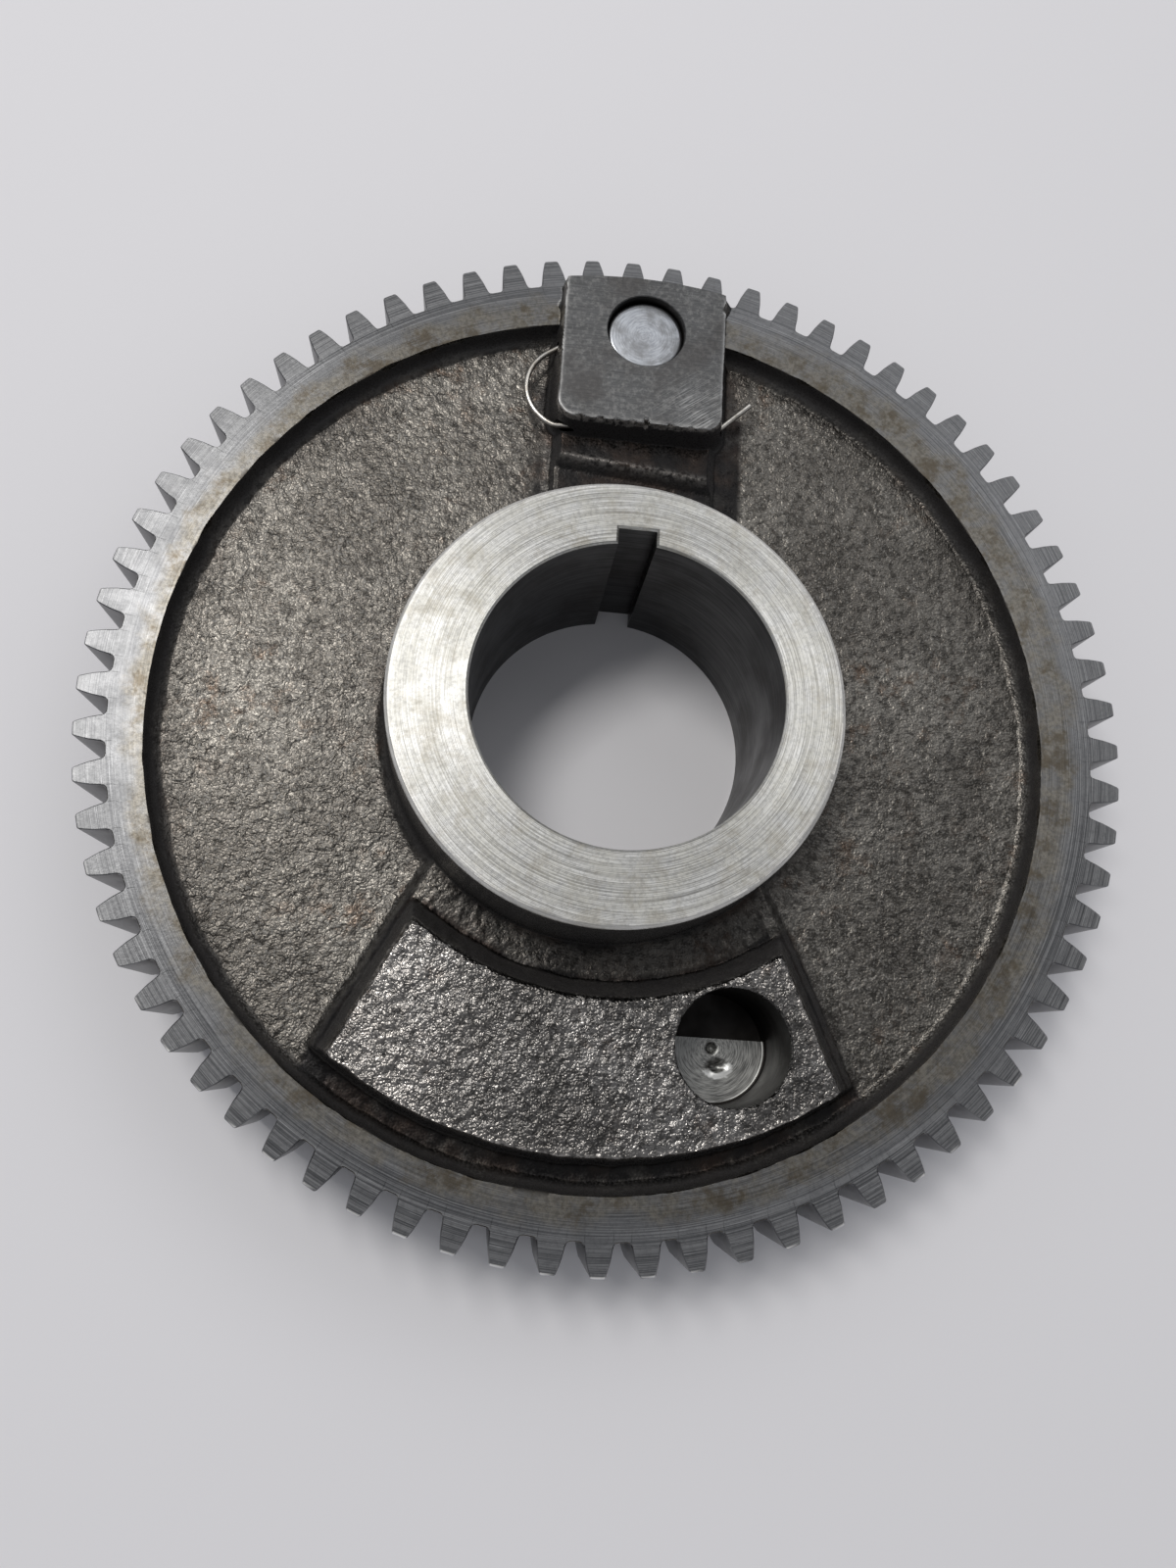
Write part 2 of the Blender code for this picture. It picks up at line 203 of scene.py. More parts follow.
def distance(x, y, centre):
    return np.hypot(x - centre[0], y - centre[1])


def sector_sides(x, y):
    """Distances outside the counterweight's top outline: outer, inner, left and right side."""
    sides = [distance(x, y, PAD_OUTER) - PAD_OUTER[2], PAD_INNER[2] - distance(x, y, PAD_INNER)]
    for side, (near, far) in zip((-1, 1), PAD_ENDS):
        along = (Vector(far) - Vector(near)).normalized()
        sides.append(side * ((y - near[1]) * along.x - (x - near[0]) * along.y))
    return sides


def boss_side(x, y):
    """Distance outside the boss's three cast walls, whose two corners are rounded."""
    corner = np.where(x < BOSS_CENTRE_X, 2.6, 2.2)
    across = np.abs(x - BOSS_CENTRE_X) - BOSS_HALF_WIDTH + corner
    below = BOSS_INNER_Y - y + corner
    outside = np.hypot(np.maximum(across, 0), np.maximum(below, 0))
    return outside + np.minimum(np.maximum(across, below), 0) - corner


def saddle_lip(x):
    """Where the saddle between hub and boss begins to fall towards the hub."""
    return 36.3 - 0.09 * x


def outside_sector(x, y):
    """Distance outside the counterweight's top outline, on whichever side is farthest out."""
    return np.maximum.reduce(sector_sides(x, y))


def counterweight_height(x, y, warp):
    """The ledge and the pad on it, above the web."""
    outer, inner, left, right = (side + warp for side in sector_sides(x, y))
    ledge_top, pad_top = LEDGE_TOP - WEB_FRONT, PAD_TOP - WEB_FRONT
    lengthen = pad_top / (PAD_TOP - LEDGE_TOP)  # the pad's walls run on down to the web
    ledge = wall(outer - 0.7, ledge_top, 0.3, 1.2)
    pad_outer = wall(outer, pad_top, 0.6 * lengthen, 1.0)
    pad = soft_min(pad_outer, wall(inner, pad_top, 2.2 * lengthen, 2.0), 0.8)
    for end in (left, right):
        ledge = soft_min(ledge, wall(end - 2.0, ledge_top, 1.4, 1.0), 0.4)
        pad = soft_min(pad, wall(end, pad_top, 1.7 * lengthen, 1.6), 1.6)
    ledge, pad = soft_min(ledge, ledge_top, 0.4), soft_min(pad, pad_top, 0.5)
    return np.where(y < 0, soft_max(ledge, pad, 0.5), -9.0)


def boss_top(x, y, boss_out):
    """The highest that the boss may be: its milled face, its turned end and its chipped edge."""
    past_end = np.hypot(x, y) - BOSS_OUTER_RADIUS
    top = BOSS_TOP - (BOSS_TOP - RIM_FRONT + 1) * np.clip(past_end / 0.08 + 1, 0, 1)
    top = np.minimum(top, BOSS_TOP - 0.1 * np.exp(-np.abs(boss_out) / 0.12))
    bite = 0.0
    for along, half, depth in CHIPS:
        bite = bite + depth * np.maximum(1 - ((x - along) / half) ** 2, 0)
    bite = np.where((y < BOSS_INNER_Y + 2) & (bite > 0), bite, -9)
    return np.minimum(top, BOSS_TOP - 1.6 * np.maximum(bite + boss_out, 0))


def front_height(x, y, rough):
    """Height of the front: rough is 0 for the drawn shape, 1 for uneven edges, 2 for sand grain too."""
    warp = grain = edge = 0.0
    if rough:
        edge = 0.13 * value_noise(x, y, 0, 2.6, 13) + 0.05 * value_noise(x, y, 0, 1.1, 14)
        warp = 0.16 * value_noise(x, y, 0, 3.1, 1) + 0.10 * value_noise(x, y, 0, 1.2, 2)
        warp += 0.05 * value_noise(x, y, 0, 0.55, 3)
    if rough > 1:
        coarse = 1 + 1.1 * ((y < 0) & (outside_sector(x, y) < 0))
        by_saddle = (y > 20) & (np.abs(x - BOSS_CENTRE_X) < SADDLE_HALF_WIDTH + 3)
        coarse = np.where(by_saddle, 0.3, coarse)
        grain = 0.07 * value_noise(x, y, 0, 5.5, 4) + 0.05 * value_noise(x, y, 0, 1.7, 5)
        ridges = 0.3 - np.abs(value_noise(x, y, 0, 1.15, 12))
        grain += coarse * 0.038 * value_noise(x, y, 0, 0.8, 6)
        grain += np.minimum(coarse, 1) * 0.04 * value_noise(x, y, 0, 0.5, 11)
        grain += 0.14 * np.maximum(coarse - 1, 0) * ridges
    from_centre = distance(x, y, CAST_CENTRE)
    boss_out = boss_side(x, y) + 0.5 * warp
    ledge_top = LEDGE_TOP - WEB_FRONT
    saddle = wall(np.abs(x - BOSS_CENTRE_X) - SADDLE_HALF_WIDTH + warp, ledge_top, 1.2, 1.1)
    past_lip = y - saddle_lip(x)
    saddle_top = ledge_top - 1.0 * smooth_step(0.4, -1.8, past_lip)
    saddle_top += 0.1 * np.exp(-((past_lip / 0.6) ** 2))
    near_boss = (y > 0) & (from_centre < BOSS_INNER_Y + 8)
    saddle = np.where(near_boss, soft_min(saddle, saddle_top, 0.3), -9.0)
    raised = np.maximum(saddle, counterweight_height(x, y, warp))
    height = WEB_FRONT + soft_max(0.25 * smooth_step(50, 57, from_centre), raised, 0.3) + grain
    rim = wall(RECESS_RADIUS - from_centre + edge, RIM_FRONT - WEB_FRONT, 0.35, FILLET)
    height = np.maximum(height, np.minimum(rim + WEB_FRONT, RIM_FRONT))
    hub = wall(from_centre - HUB_RADIUS, HUB_FRONT - WEB_FRONT, HUB_DRAFT, FILLET)
    chamfered = HUB_FRONT - np.maximum(from_centre - (HUB_RADIUS - HUB_CHAMFER), 0)
    height = soft_max(height, np.minimum(hub + WEB_FRONT, chamfered), 0.4)
    boss = WEB_FRONT + wall(boss_out, BOSS_TOP - WEB_FRONT, BOSS_SLOPE, 1.4)
    boss = np.minimum(boss, boss_top(x, y, boss_out))
    return np.where(y > 0, soft_max(height, boss, 0.3), height)


def back_height(x, y, rough):
    """Height of the back: the hub's back face, a shallow trench, and the rim."""
    warp = grain = 0.0
    if rough:
        warp = 0.2 * value_noise(x, y, 50, 3.1, 7) + 0.06 * value_noise(x, y, 50, 0.9, 8)
    if rough > 1:
        grain = 0.08 * value_noise(x, y, 50, 5.5, 9) + 0.06 * value_noise(x, y, 50, 1.0, 10)
    from_centre = distance(x, y, CAST_CENTRE)
    outer, _, left, right = (side + warp for side in sector_sides(x, y))
    drop = WEB_BACK - PAD_BACK
    pad = wall(outer - 0.7, drop, 0.5, 1.0)
    for end in (left, right):
        pad = soft_min(pad, wall(end - 2.2, drop, 1.2, 1.0), 0.6)
    raised = soft_max(0.0, np.where(y < 0, soft_min(pad, drop, 0.5), -9.0), 0.3) + grain
    rim = wall(RECESS_RADIUS - from_centre + warp, WEB_BACK - RIM_BACK, 0.35, FILLET)
    raised = np.maximum(raised, np.minimum(rim, WEB_BACK - RIM_BACK))
    hub = wall(from_centre - HUB_RADIUS, WEB_BACK, HUB_DRAFT, 1.5)
    chamfered = WEB_BACK - np.maximum(from_centre - (HUB_RADIUS - HUB_CHAMFER), 0)
    return WEB_BACK - soft_max(raised, np.minimum(hub, chamfered), 0.3)


def involute(angle):
    return math.tan(angle) - angle


def tooth_half_angle(radius):
    """Half of a tooth's thickness at a radius, as an angle about the gear axis."""
    base = PITCH_RADIUS * math.cos(PRESSURE_ANGLE)
    at_radius = math.acos(min(1.0, base / radius))
    return math.pi / 2 / TEETH + involute(PRESSURE_ANGLE) - involute(at_radius)


def tooth_outline():
    """Radii and angles of the toothed outline, 20 points to a tooth, root to root."""
    base = PITCH_RADIUS * math.cos(PRESSURE_ANGLE)
    foot = ROOT_RADIUS + 0.6
    side = [(ROOT_RADIUS, tooth_half_angle(foot) + math.radians(0.5))]
    side.append((ROOT_RADIUS + 0.1, tooth_half_angle(foot) + math.radians(0.22)))
    side.append((ROOT_RADIUS + 0.3, tooth_half_angle(foot) + math.radians(0.07)))
    for radius in (foot, base + 0.3, PITCH_RADIUS - 0.2, PITCH_RADIUS + 0.8, TIP_RADIUS - 0.25):
        side.append((radius, tooth_half_angle(radius)))
    side.append((TIP_RADIUS - 0.05, tooth_half_angle(TIP_RADIUS) - math.radians(0.05)))
    side.append((TIP_RADIUS, tooth_half_angle(TIP_RADIUS) - math.radians(0.22)))
    radii, angles = [], []
    for tooth in range(TEETH):
        middle = TOOTH_PHASE + 2 * math.pi * tooth / TEETH
        both = [(r, -a) for r, a in side] + [(r, a) for r, a in reversed(side)]
        radii += [radius for radius, _ in both]
        angles += [middle + angle for _, angle in both]
    return np.array(radii), np.array(angles)


def free_angles(tooth_angles):
    """Column angles inside the rim, closer together across the boss's and the pad's side walls."""
    count = len(tooth_angles)
    fine = np.linspace(0, 2 * math.pi, 7200, endpoint=False)
    density = np.ones_like(fine)
    for middle, half in ((77.0, 4.5), (102.5, 4.5), (232.5, 5.0), (305.0, 5.5)):
        away = np.abs(np.degrees(fine) - middle) / half
        density += 1.3 * np.exp(-(away**4))
    share = np.concatenate([[0], np.cumsum(density)])
    share /= share[-1]
    grid = np.concatenate([fine, [2 * math.pi]])
    first = np.interp(tooth_angles[0], grid, share)
    places = (first + np.arange(count) / count) % 1.0
    angles = np.interp(places, share, grid)
    return angles + 2 * math.pi * (np.arange(count) > 0) * (angles < tooth_angles[0] - 1e-9)


def field_rows(height, rows, free, toothed):
    """Rows of points over one side: close together on slopes and edges, wide apart on flats."""
    radii = np.linspace(INNER_RADIUS, LAND_RADIUS, 1150)

    def turn(radius, column=slice(None)):
        share = smooth_step(RECESS_RADIUS - 0.5, LAND_RADIUS - 0.4, radius)
        return free[column] * (1 - share) + toothed[column] * share

    angles = turn(radii[:, None])
    level = height(radii[:, None] * np.cos(angles), radii[:, None] * np.sin(angles), 1)
    rise, step = np.diff(level, axis=0), radii[1] - radii[0]
    slope = np.arctan2(rise, step)
    bend = np.abs(np.diff(slope, axis=0, prepend=slope[:1]))
    flat = (np.abs(rise) < 1e-6) & ((radii[1:, None] < 27) | (radii[1:, None] > RECESS_RADIUS))
    cost = np.hypot(rise, step) * np.where(flat, 0.4, 1.0) + 0.45 * bend
    evened = sum(np.roll(cost, k, axis=1) for k in range(-3, 4)) / 7
    total = np.concatenate([np.zeros((1, cost.shape[1])), np.cumsum(evened, axis=0)])
    out = np.empty((rows, cost.shape[1]))
    for column in range(cost.shape[1]):
        wanted = np.linspace(0, total[-1, column], rows)
        out[:, column] = np.interp(wanted, total[:, column], radii)
    angles = turn(out)
    x, y = out * np.cos(angles), out * np.sin(angles)
    return np.stack([x, y, height(x, y, 2)], -1)


def tooth_rows(radii, angles):
    """Rows over the tooth lands, the chamfered edges and the faces of the teeth."""
    outline = np.stack([radii * np.cos(angles), radii * np.sin(angles)], -1)
    along = np.roll(outline, -1, 0) - np.roll(outline, 1, 0)
    along /= np.linalg.norm(along, axis=1)[:, None]
    inset = outline + np.stack([-along[:, 1], along[:, 0]], -1) * TOOTH_CHAMFER
    land = np.stack([LAND_RADIUS * np.cos(angles), LAND_RADIUS * np.sin(angles)], -1)

    def row(points, z):
        return np.column_stack([points, np.full(len(points), z)])

    front = [row(land + (inset - land) * share, RIM_FRONT) for share in (0.35, 0.7, 0.95, 1.0)]
    levels = [RIM_FRONT - TOOTH_CHAMFER, *np.linspace(RIM_FRONT - 0.3, RIM_BACK + TOOTH_CHAMFER, 6)]
    faces = [row(outline, z) for z in levels]
    back = [row(land + (inset - land) * share, RIM_BACK) for share in (1.0, 0.7, 0.35)]
    return np.array(front + faces + back)


def add_object(name, data):
    made = bpy.data.objects.new(name, data)
    bpy.context.scene.collection.objects.link(made)
    return made


def mesh_object(name, points, faces):
    mesh = bpy.data.meshes.new(name)
    mesh.from_pydata([], [], [])
    mesh.vertices.add(len(points))
    mesh.vertices.foreach_set("co", (np.asarray(points) * MM).astype(np.float32).ravel())
    corners = np.concatenate([np.asarray(face, np.int32) for face in faces])
    sizes = np.array([len(face) for face in faces])
    mesh.loops.add(len(corners))
    mesh.loops.foreach_set("vertex_index", corners)
    mesh.polygons.add(len(faces))
    starts = np.concatenate([[0], np.cumsum(sizes)[:-1]]).astype(np.int32)
    mesh.polygons.foreach_set("loop_start", starts)
    mesh.update(calc_edges=True)
    mesh.validate()
    return add_object(name, mesh)


def ring_faces(rows, columns, around=False):
    """Quads between rows of points that each close on themselves."""
    index = np.arange(rows * columns).reshape(rows, columns)
    lower = index if around else index[:-1]
    upper = np.roll(index, -1, 0) if around else index[1:]
    return np.stack([lower, np.roll(lower, -1, 1), np.roll(upper, -1, 1), upper], -1).reshape(-1, 4)


def blank():
    """The casting with its teeth, before anything is bored or drilled."""
    radii, angles = tooth_outline()
    free = free_angles(angles)
    front = field_rows(front_height, FRONT_ROWS, free, angles)
    back = field_rows(back_height, BACK_ROWS, free, angles)[::-1]
    grid = np.concatenate([front, tooth_rows(radii, angles), back])
    faces = ring_faces(grid.shape[0], grid.shape[1], around=True)
    return mesh_object("gear_casting", grid.reshape(-1, 3), faces[:, ::-1])


# ---- what is cut into it


def polar(radius, angle, centre=(0.0, 0.0)):
    return (centre[0] + radius * math.cos(angle), centre[1] + radius * math.sin(angle))


def loft(sections):
    """Points and faces of a closed solid through sections of equally many points."""
    count = len(sections[0])
    faces = [list(face) for face in ring_faces(len(sections), count)]
    faces.append(list(range(count))[::-1])
    faces.append(list(range((len(sections) - 1) * count, len(sections) * count)))
    return [point for section in sections for point in section], faces


def joined(name, solids):
    points, faces = [], []
    for solid_points, solid_faces in solids:
        faces += [[corner + len(points) for corner in face] for face in solid_faces]
        points += list(solid_points)
    return mesh_object(name, points, faces)


def spread(outline, amount):
    """Moves each side of an anticlockwise outline outwards by an amount."""
    moved = []
    for i, point in enumerate(outline):
        before, after = Vector(outline[i - 1]), Vector(outline[(i + 1) % len(outline)])
        first, second = (Vector(point) - before).normalized(), (after - Vector(point)).normalized()
        out = Vector((first.y + second.y, -first.x - second.x))
        moved.append(tuple(Vector(point) + out * amount / max(0.35, out.length_squared / 2)))
    return moved


def bore_cutter():
    """The bore with its keyway, widening past both faces to leave a fine chamfer."""
    half = KEYWAY_WIDTH / 2
    edge = math.acos(half / BORE_RADIUS)
    steps = 176
    turns = [math.pi - edge + (math.pi + 2 * edge) * i / steps for i in range(steps + 1)]
    outline = [polar(BORE_RADIUS, turn) for turn in turns]
    outline += [(half, KEYWAY_REACH), (-half, KEYWAY_REACH)]
    chamfer = 0.28
    levels = ((-1.0, 1 + chamfer), (chamfer, 0), (HUB_FRONT - chamfer, 0), (HUB_FRONT + 1, 1 + chamfer))
    return loft([[(x, y, z) for x, y in spread(outline, out)] for z, out in levels])


def round_cutter(centre, radius, low, high, top, chamfer):
    """A drill of one radius, wider above the face at top to leave a fine chamfer."""
    wide = radius + 1 + chamfer
    levels = ((low, radius), (top - chamfer, radius), (top + 1, wide), (high, wide))
    turns = [2 * math.pi * i / 128 for i in range(128)]
    return loft([[(*polar(r, turn, centre), z) for turn in turns] for z, r in levels])


def from_gouge(x, y):
    """Place relative to the gouge in the balance hole's floor."""
    return x - BALANCE_HOLE[0] - 0.8, y - BALANCE_HOLE[1] + 2.4


def balance_cutter():
    """The balance hole: flat-bottomed, with tool rings, a centre dimple and a gouge in its floor."""
    centre, turns = BALANCE_HOLE, np.linspace(0, 2 * math.pi, 96, endpoint=False)
    rings = []
    for radius in np.linspace(0.15, BALANCE_HOLE_RADIUS - 0.25, 30):
        x, y = centre[0] + radius * np.cos(turns), centre[1] + radius * np.sin(turns)
        z = BALANCE_HOLE_FLOOR + 0.003 * np.sin(radius * 11) + 0.05 * radius / 7
        z = z - 0.7 * np.maximum(1 - radius / 0.75, 0)
        dx, dy = from_gouge(x, y)
        hollow = np.maximum(1 - (dx / GOUGE_REACH[0]) ** 2 - (dy / GOUGE_REACH[1]) ** 2, 0)
        uneven = 1 + 0.9 * value_noise(x, y, 0, 0.7, 12)
        z = z - 0.35 * hollow * uneven * (dy > GOUGE_LEAN * dx - 0.5)
        rings.append(np.column_stack([x, y, z]))
    for radius, z in ((0, BALANCE_HOLE_FLOOR + 0.25), (0, PAD_TOP - 0.2), (1.5, PAD_TOP + 1.3)):
        x = centre[0] + (BALANCE_HOLE_RADIUS + radius) * np.cos(turns)
        y = centre[1] + (BALANCE_HOLE_RADIUS + radius) * np.sin(turns)
        rings.append(np.column_stack([x, y, np.full_like(x, z)]))
    return loft([[tuple(point) for point in ring] for ring in rings])


def pocket_cutter():
    """The black part of the balance hole's floor, which lies deeper beyond a straight edge."""
    radius, edge = BALANCE_HOLE_RADIUS - 0.04, POCKET_EDGE
    first = math.asin(edge / radius)
    turns = [first + (math.pi - 2 * first) * i / 40 for i in range(41)]
    plan = [polar(radius, turn, BALANCE_HOLE) for turn in turns]
    return loft([[(x, y, z) for x, y in plan] for z in (POCKET_FLOOR, BALANCE_HOLE_FLOOR + 0.6)])


def tube(path, radius, sides):
    """Points and faces of a round bar that follows points in a horizontal plane."""
    sections = []
    for i, point in enumerate(path):
        before, after = Vector(path[max(i - 1, 0)]), Vector(path[min(i + 1, len(path) - 1)])
        along = (after - before).normalized()
        across = Vector((-along.y, along.x, 0))
        section = []
        for k in range(sides):
            turn = 2 * math.pi * k / sides
            sideways = Vector(point) + across * radius * math.cos(turn)
            section.append(tuple(sideways + Vector((0, 0, radius * math.sin(turn)))))
        sections.append(section)
    return loft(sections)


def wire_path():
    """Centre line of the detent spring, from the end in the groove to the free tail."""
    start = Vector(polar(LOOP_RADIUS, math.radians(LOOP_START), LOOP_CENTRE))
    heading = math.radians(LOOP_START - 90)
    detent = start + Vector((math.cos(heading), math.sin(heading))) * DETENT_LEG
    points = [detent.lerp(start, i / 6) for i in range(6)]
    for i in range(49):
        angle = math.radians(LOOP_START + (LOOP_END - LOOP_START) * i / 48)
        points.append(Vector(polar(LOOP_RADIUS, angle, LOOP_CENTRE)))
    bend, first, last = 2.0, math.radians(LOOP_END + 90 - 360), math.radians(ANCHOR_HEADING)
    centre = points[-1] + Vector((-math.sin(first), math.cos(first))) * bend
    for i in range(1, 9):
        angle = first + (last - first) * i / 8
        points.append(centre + Vector((math.sin(angle), -math.cos(angle))) * bend)
    anchor = points[-1]
    corner = Vector((TAIL_CORNER, anchor.y + (TAIL_CORNER - anchor.x) * math.tan(last)))
    turn = math.radians(TAIL_HEADING)
    inward = Vector((math.cos(last), math.sin(last)))
    outward = Vector((math.cos(turn), math.sin(turn)))
    for i in range(7):
        blend = i / 6
        before, after = corner - inward * 0.6 * (1 - blend), corner + outward * 0.6 * blend
        points.append(before.lerp(after, blend))
    points.append(corner + outward * TAIL_LENGTH)
    return points, anchor, corner, start, detent


def at_wire_height(points):
    return [(p.x, p.y, WIRE_HEIGHT) for p in points]


def wire_hole_cutters():
    _, anchor, corner, start, detent = wire_path()
    along = (detent - start).normalized()
    anchored = [anchor - (corner - anchor).normalized() * 4, corner.lerp(anchor, -0.12)]
    sprung = [start - along * 1.2, detent + along * 0.6]
    return [tube(at_wire_height(ends), WIRE_HOLE_RADIUS, 24) for ends in (anchored, sprung)]


def cut(target, cutter):
    """Takes a cutter away from the target's mesh for good."""
    modifier = target.modifiers.new("cut", "BOOLEAN")
    modifier.operation = "DIFFERENCE"
    modifier.solver = "MANIFOLD"
    modifier.object = cutter
    evaluated = target.evaluated_get(bpy.context.evaluated_depsgraph_get())
    made = bpy.data.meshes.new_from_object(evaluated)
    target.modifiers.clear()
    target.data = made
    bpy.data.objects.remove(cutter)


# ---- materials


def scaled(colour, factor):
    return tuple(min(factor * part, 1.0) for part in colour)


class Surface:
    """A Principled material and short ways to add the nodes that drive it."""

    def __init__(self, name, metallic, roughness, colour=(0.3, 0.3, 0.3)):
        self.material = bpy.data.materials.new(name)
        self.material.use_nodes = True
        self.tree = self.material.node_tree
        self.shader = self.tree.nodes["Principled BSDF"]
        self.shader.inputs["Metallic"].default_value = metallic
        self.shader.inputs["Roughness"].default_value = roughness
        self.shader.inputs["Base Color"].default_value = (*colour, 1)
        self.place = self.add("ShaderNodeTexCoord").outputs["Object"]
        self.height = self.radius = None

    def add(self, kind, **inputs):
        node = self.tree.nodes.new(kind)
        for name, value in inputs.items():
            self.put(node, name, value)
        return node

    def feed(self, socket, value):
        if isinstance(value, bpy.types.NodeSocket):
            self.tree.links.new(value, socket)
        else:
            socket.default_value = value

    def put(self, node, name, value):
        """Feeds an input that is given by its name, or by its number as in i0."""
        by_number = name[0] == "i" and name[1:].isdigit()
        self.feed(node.inputs[int(name[1:]) if by_number else name], value)

    def math(self, operation, a, b=0.0, clamp=False):
        node = self.add("ShaderNodeMath", i0=a, i1=b)
        node.operation = operation
        node.use_clamp = clamp
        return node.outputs[0]

    def span(self, value, low, high, to_low=0.0, to_high=1.0):
        node = self.add("ShaderNodeMapRange", Value=value)
        ends = {"From Min": low, "From Max": high, "To Min": to_low, "To Max": to_high}
        for name, end in ends.items():
            node.inputs[name].default_value = end
        node.interpolation_type = "SMOOTHSTEP"
        return node.outputs[0]

    def noise(self, scale, detail, rough, where=None, stretch=None):
        vector = where or self.place
        if stretch:
            node = self.add("ShaderNodeVectorMath", i0=vector, i1=stretch)
            node.operation = "MULTIPLY"
            vector = node.outputs[0]
        inputs = {"Vector": vector, "Scale": scale, "Detail": detail, "Roughness": rough}
        return self.add("ShaderNodeTexNoise", **inputs).outputs[0]

    def mask(self, name):
        node = self.add("ShaderNodeAttribute")
        node.attribute_name = name
        return node.outputs["Fac"]

    def mix(self, share, a, b):
        """Colour a, or b where share is 1; the numbers are the sockets of the colour kind."""
        node = self.tree.nodes.new("ShaderNodeMix")
        node.data_type = "RGBA"
        for number, value in ((0, share), (6, a), (7, b)):
            self.feed(node.inputs[number], (*value, 1) if isinstance(value, tuple) else value)
        return node.outputs[2]

    def colour(self, value):
        self.put(self.shader, "Base Color", value)

    def rough(self, value):
        self.put(self.shader, "Roughness", value)

    def bump(self, height, millimetres, strength):
        inputs = {"Height": height, "Distance": millimetres * MM, "Strength": strength}
        if self.height is not None:
            inputs["Normal"] = self.height
        self.height = self.add("ShaderNodeBump", **inputs).outputs[0]
        self.put(self.shader, "Normal", self.height)

    def rings(self, centre, per_mm, stretch=1.2):
        """Noise that is fine along the radius and long round the centre, as a tool leaves it."""
        away = (-centre[0] * MM, -centre[1] * MM, 0)
        shifted = self.add("ShaderNodeVectorMath", i0=self.place, i1=away)
        flat = self.add("ShaderNodeVectorMath", i0=shifted.outputs[0], i1=(1, 1, 0))
        flat.operation = "MULTIPLY"
        length = self.add("ShaderNodeVectorMath", i0=flat.outputs[0])
        length.operation = "LENGTH"
        turned = self.add("ShaderNodeVectorMath", i0=flat.outputs[0])
        turned.operation = "NORMALIZE"
        parts = self.add("ShaderNodeSeparateXYZ", Vector=turned.outputs[0])
        self.radius = self.math("MULTIPLY", length.outputs["Value"], 1 / MM)
        joined_up = self.add(
            "ShaderNodeCombineXYZ",
            X=self.math("MULTIPLY", length.outputs["Value"], per_mm / MM),
            Y=self.math("MULTIPLY", parts.outputs[0], stretch),
            Z=self.math("MULTIPLY", parts.outputs[1], stretch),
        )
        return joined_up.outputs[0]


def cast_iron(name, dark, light, rust, relief, roughness):
    """As-cast iron: sand grain with dark pits, a little rust, oily dark and painted shade in hollows
    and beside walls, and bright wear with painted glints.
    """
    made = Surface(name, 1.0, roughness)
    grain = made.noise(1500, 2.2, 0.6)
    fine = made.noise(3600, 0, 0.5)
    cloud = made.noise(55, 4, 0.6)
    tone = made.mix(made.span(cloud, 0.35, 0.68), dark, light)
    pits = made.span(made.noise(1000, 3, 0.65), 0.56, 0.38, 0.0, 0.7)
    tone = made.mix(pits, tone, scaled(dark, 0.32))
    tone = made.mix(made.span(fine, 0.6, 0.74, 0.0, 0.2), tone, (0.5, 0.49, 0.47))
    spots = made.span(made.noise(240, 5, 0.75), 0.52, 0.7)
    spots = made.math("MULTIPLY", spots, made.span(cloud, 0.44, 0.6))
    tone = made.mix(made.math("MULTIPLY", spots, rust), tone, (0.1, 0.062, 0.04))
    # Oily dark and painted shade: dark brown on flats, dark grey on walls.
    oil_and_shade = made.mask("shade_and_oil")
    patches = made.span(made.noise(180, 4, 0.6), 0.4, 0.7)
    brown = made.mix(patches, (0.014, 0.0135, 0.014), (0.028, 0.021, 0.018))
    facing = made.add("ShaderNodeSeparateXYZ", Vector=made.add("ShaderNodeTexCoord").outputs["Normal"])
    upright = made.span(made.math("ABSOLUTE", facing.outputs["Z"]), 0.95, 0.6)
    brown = made.mix(upright, brown, (0.032, 0.03, 0.03))
    tone = made.mix(made.math("MULTIPLY", oil_and_shade, 0.95, clamp=True), tone, brown)
    # Bright wear and painted glints.
    wear_and_glint = made.math("MULTIPLY", made.mask("wear_and_glint"), made.span(grain, 0.35, 0.6))
    tone = made.mix(wear_and_glint, tone, (0.6, 0.56, 0.52))
    made.colour(tone)
    dull = made.math("MULTIPLY", made.math("MULTIPLY", oil_and_shade, upright), 0.9)
    made.put(made.shader, "Metallic", made.math("MAXIMUM", made.math("SUBTRACT", 1.0, dull), wear_and_glint))
    rough = made.span(fine, 0.3, 0.75, roughness - 0.1, roughness + 0.12)
    made.rough(made.math("SUBTRACT", rough, made.math("MULTIPLY", oil_and_shade, 0.04)))
    dry = made.span(oil_and_shade, 0.2, 1.0, 1.0, 0.25)
    made.bump(grain, 0.17 * relief, dry)
    made.bump(fine, 0.06 * relief, dry)
    return made.material


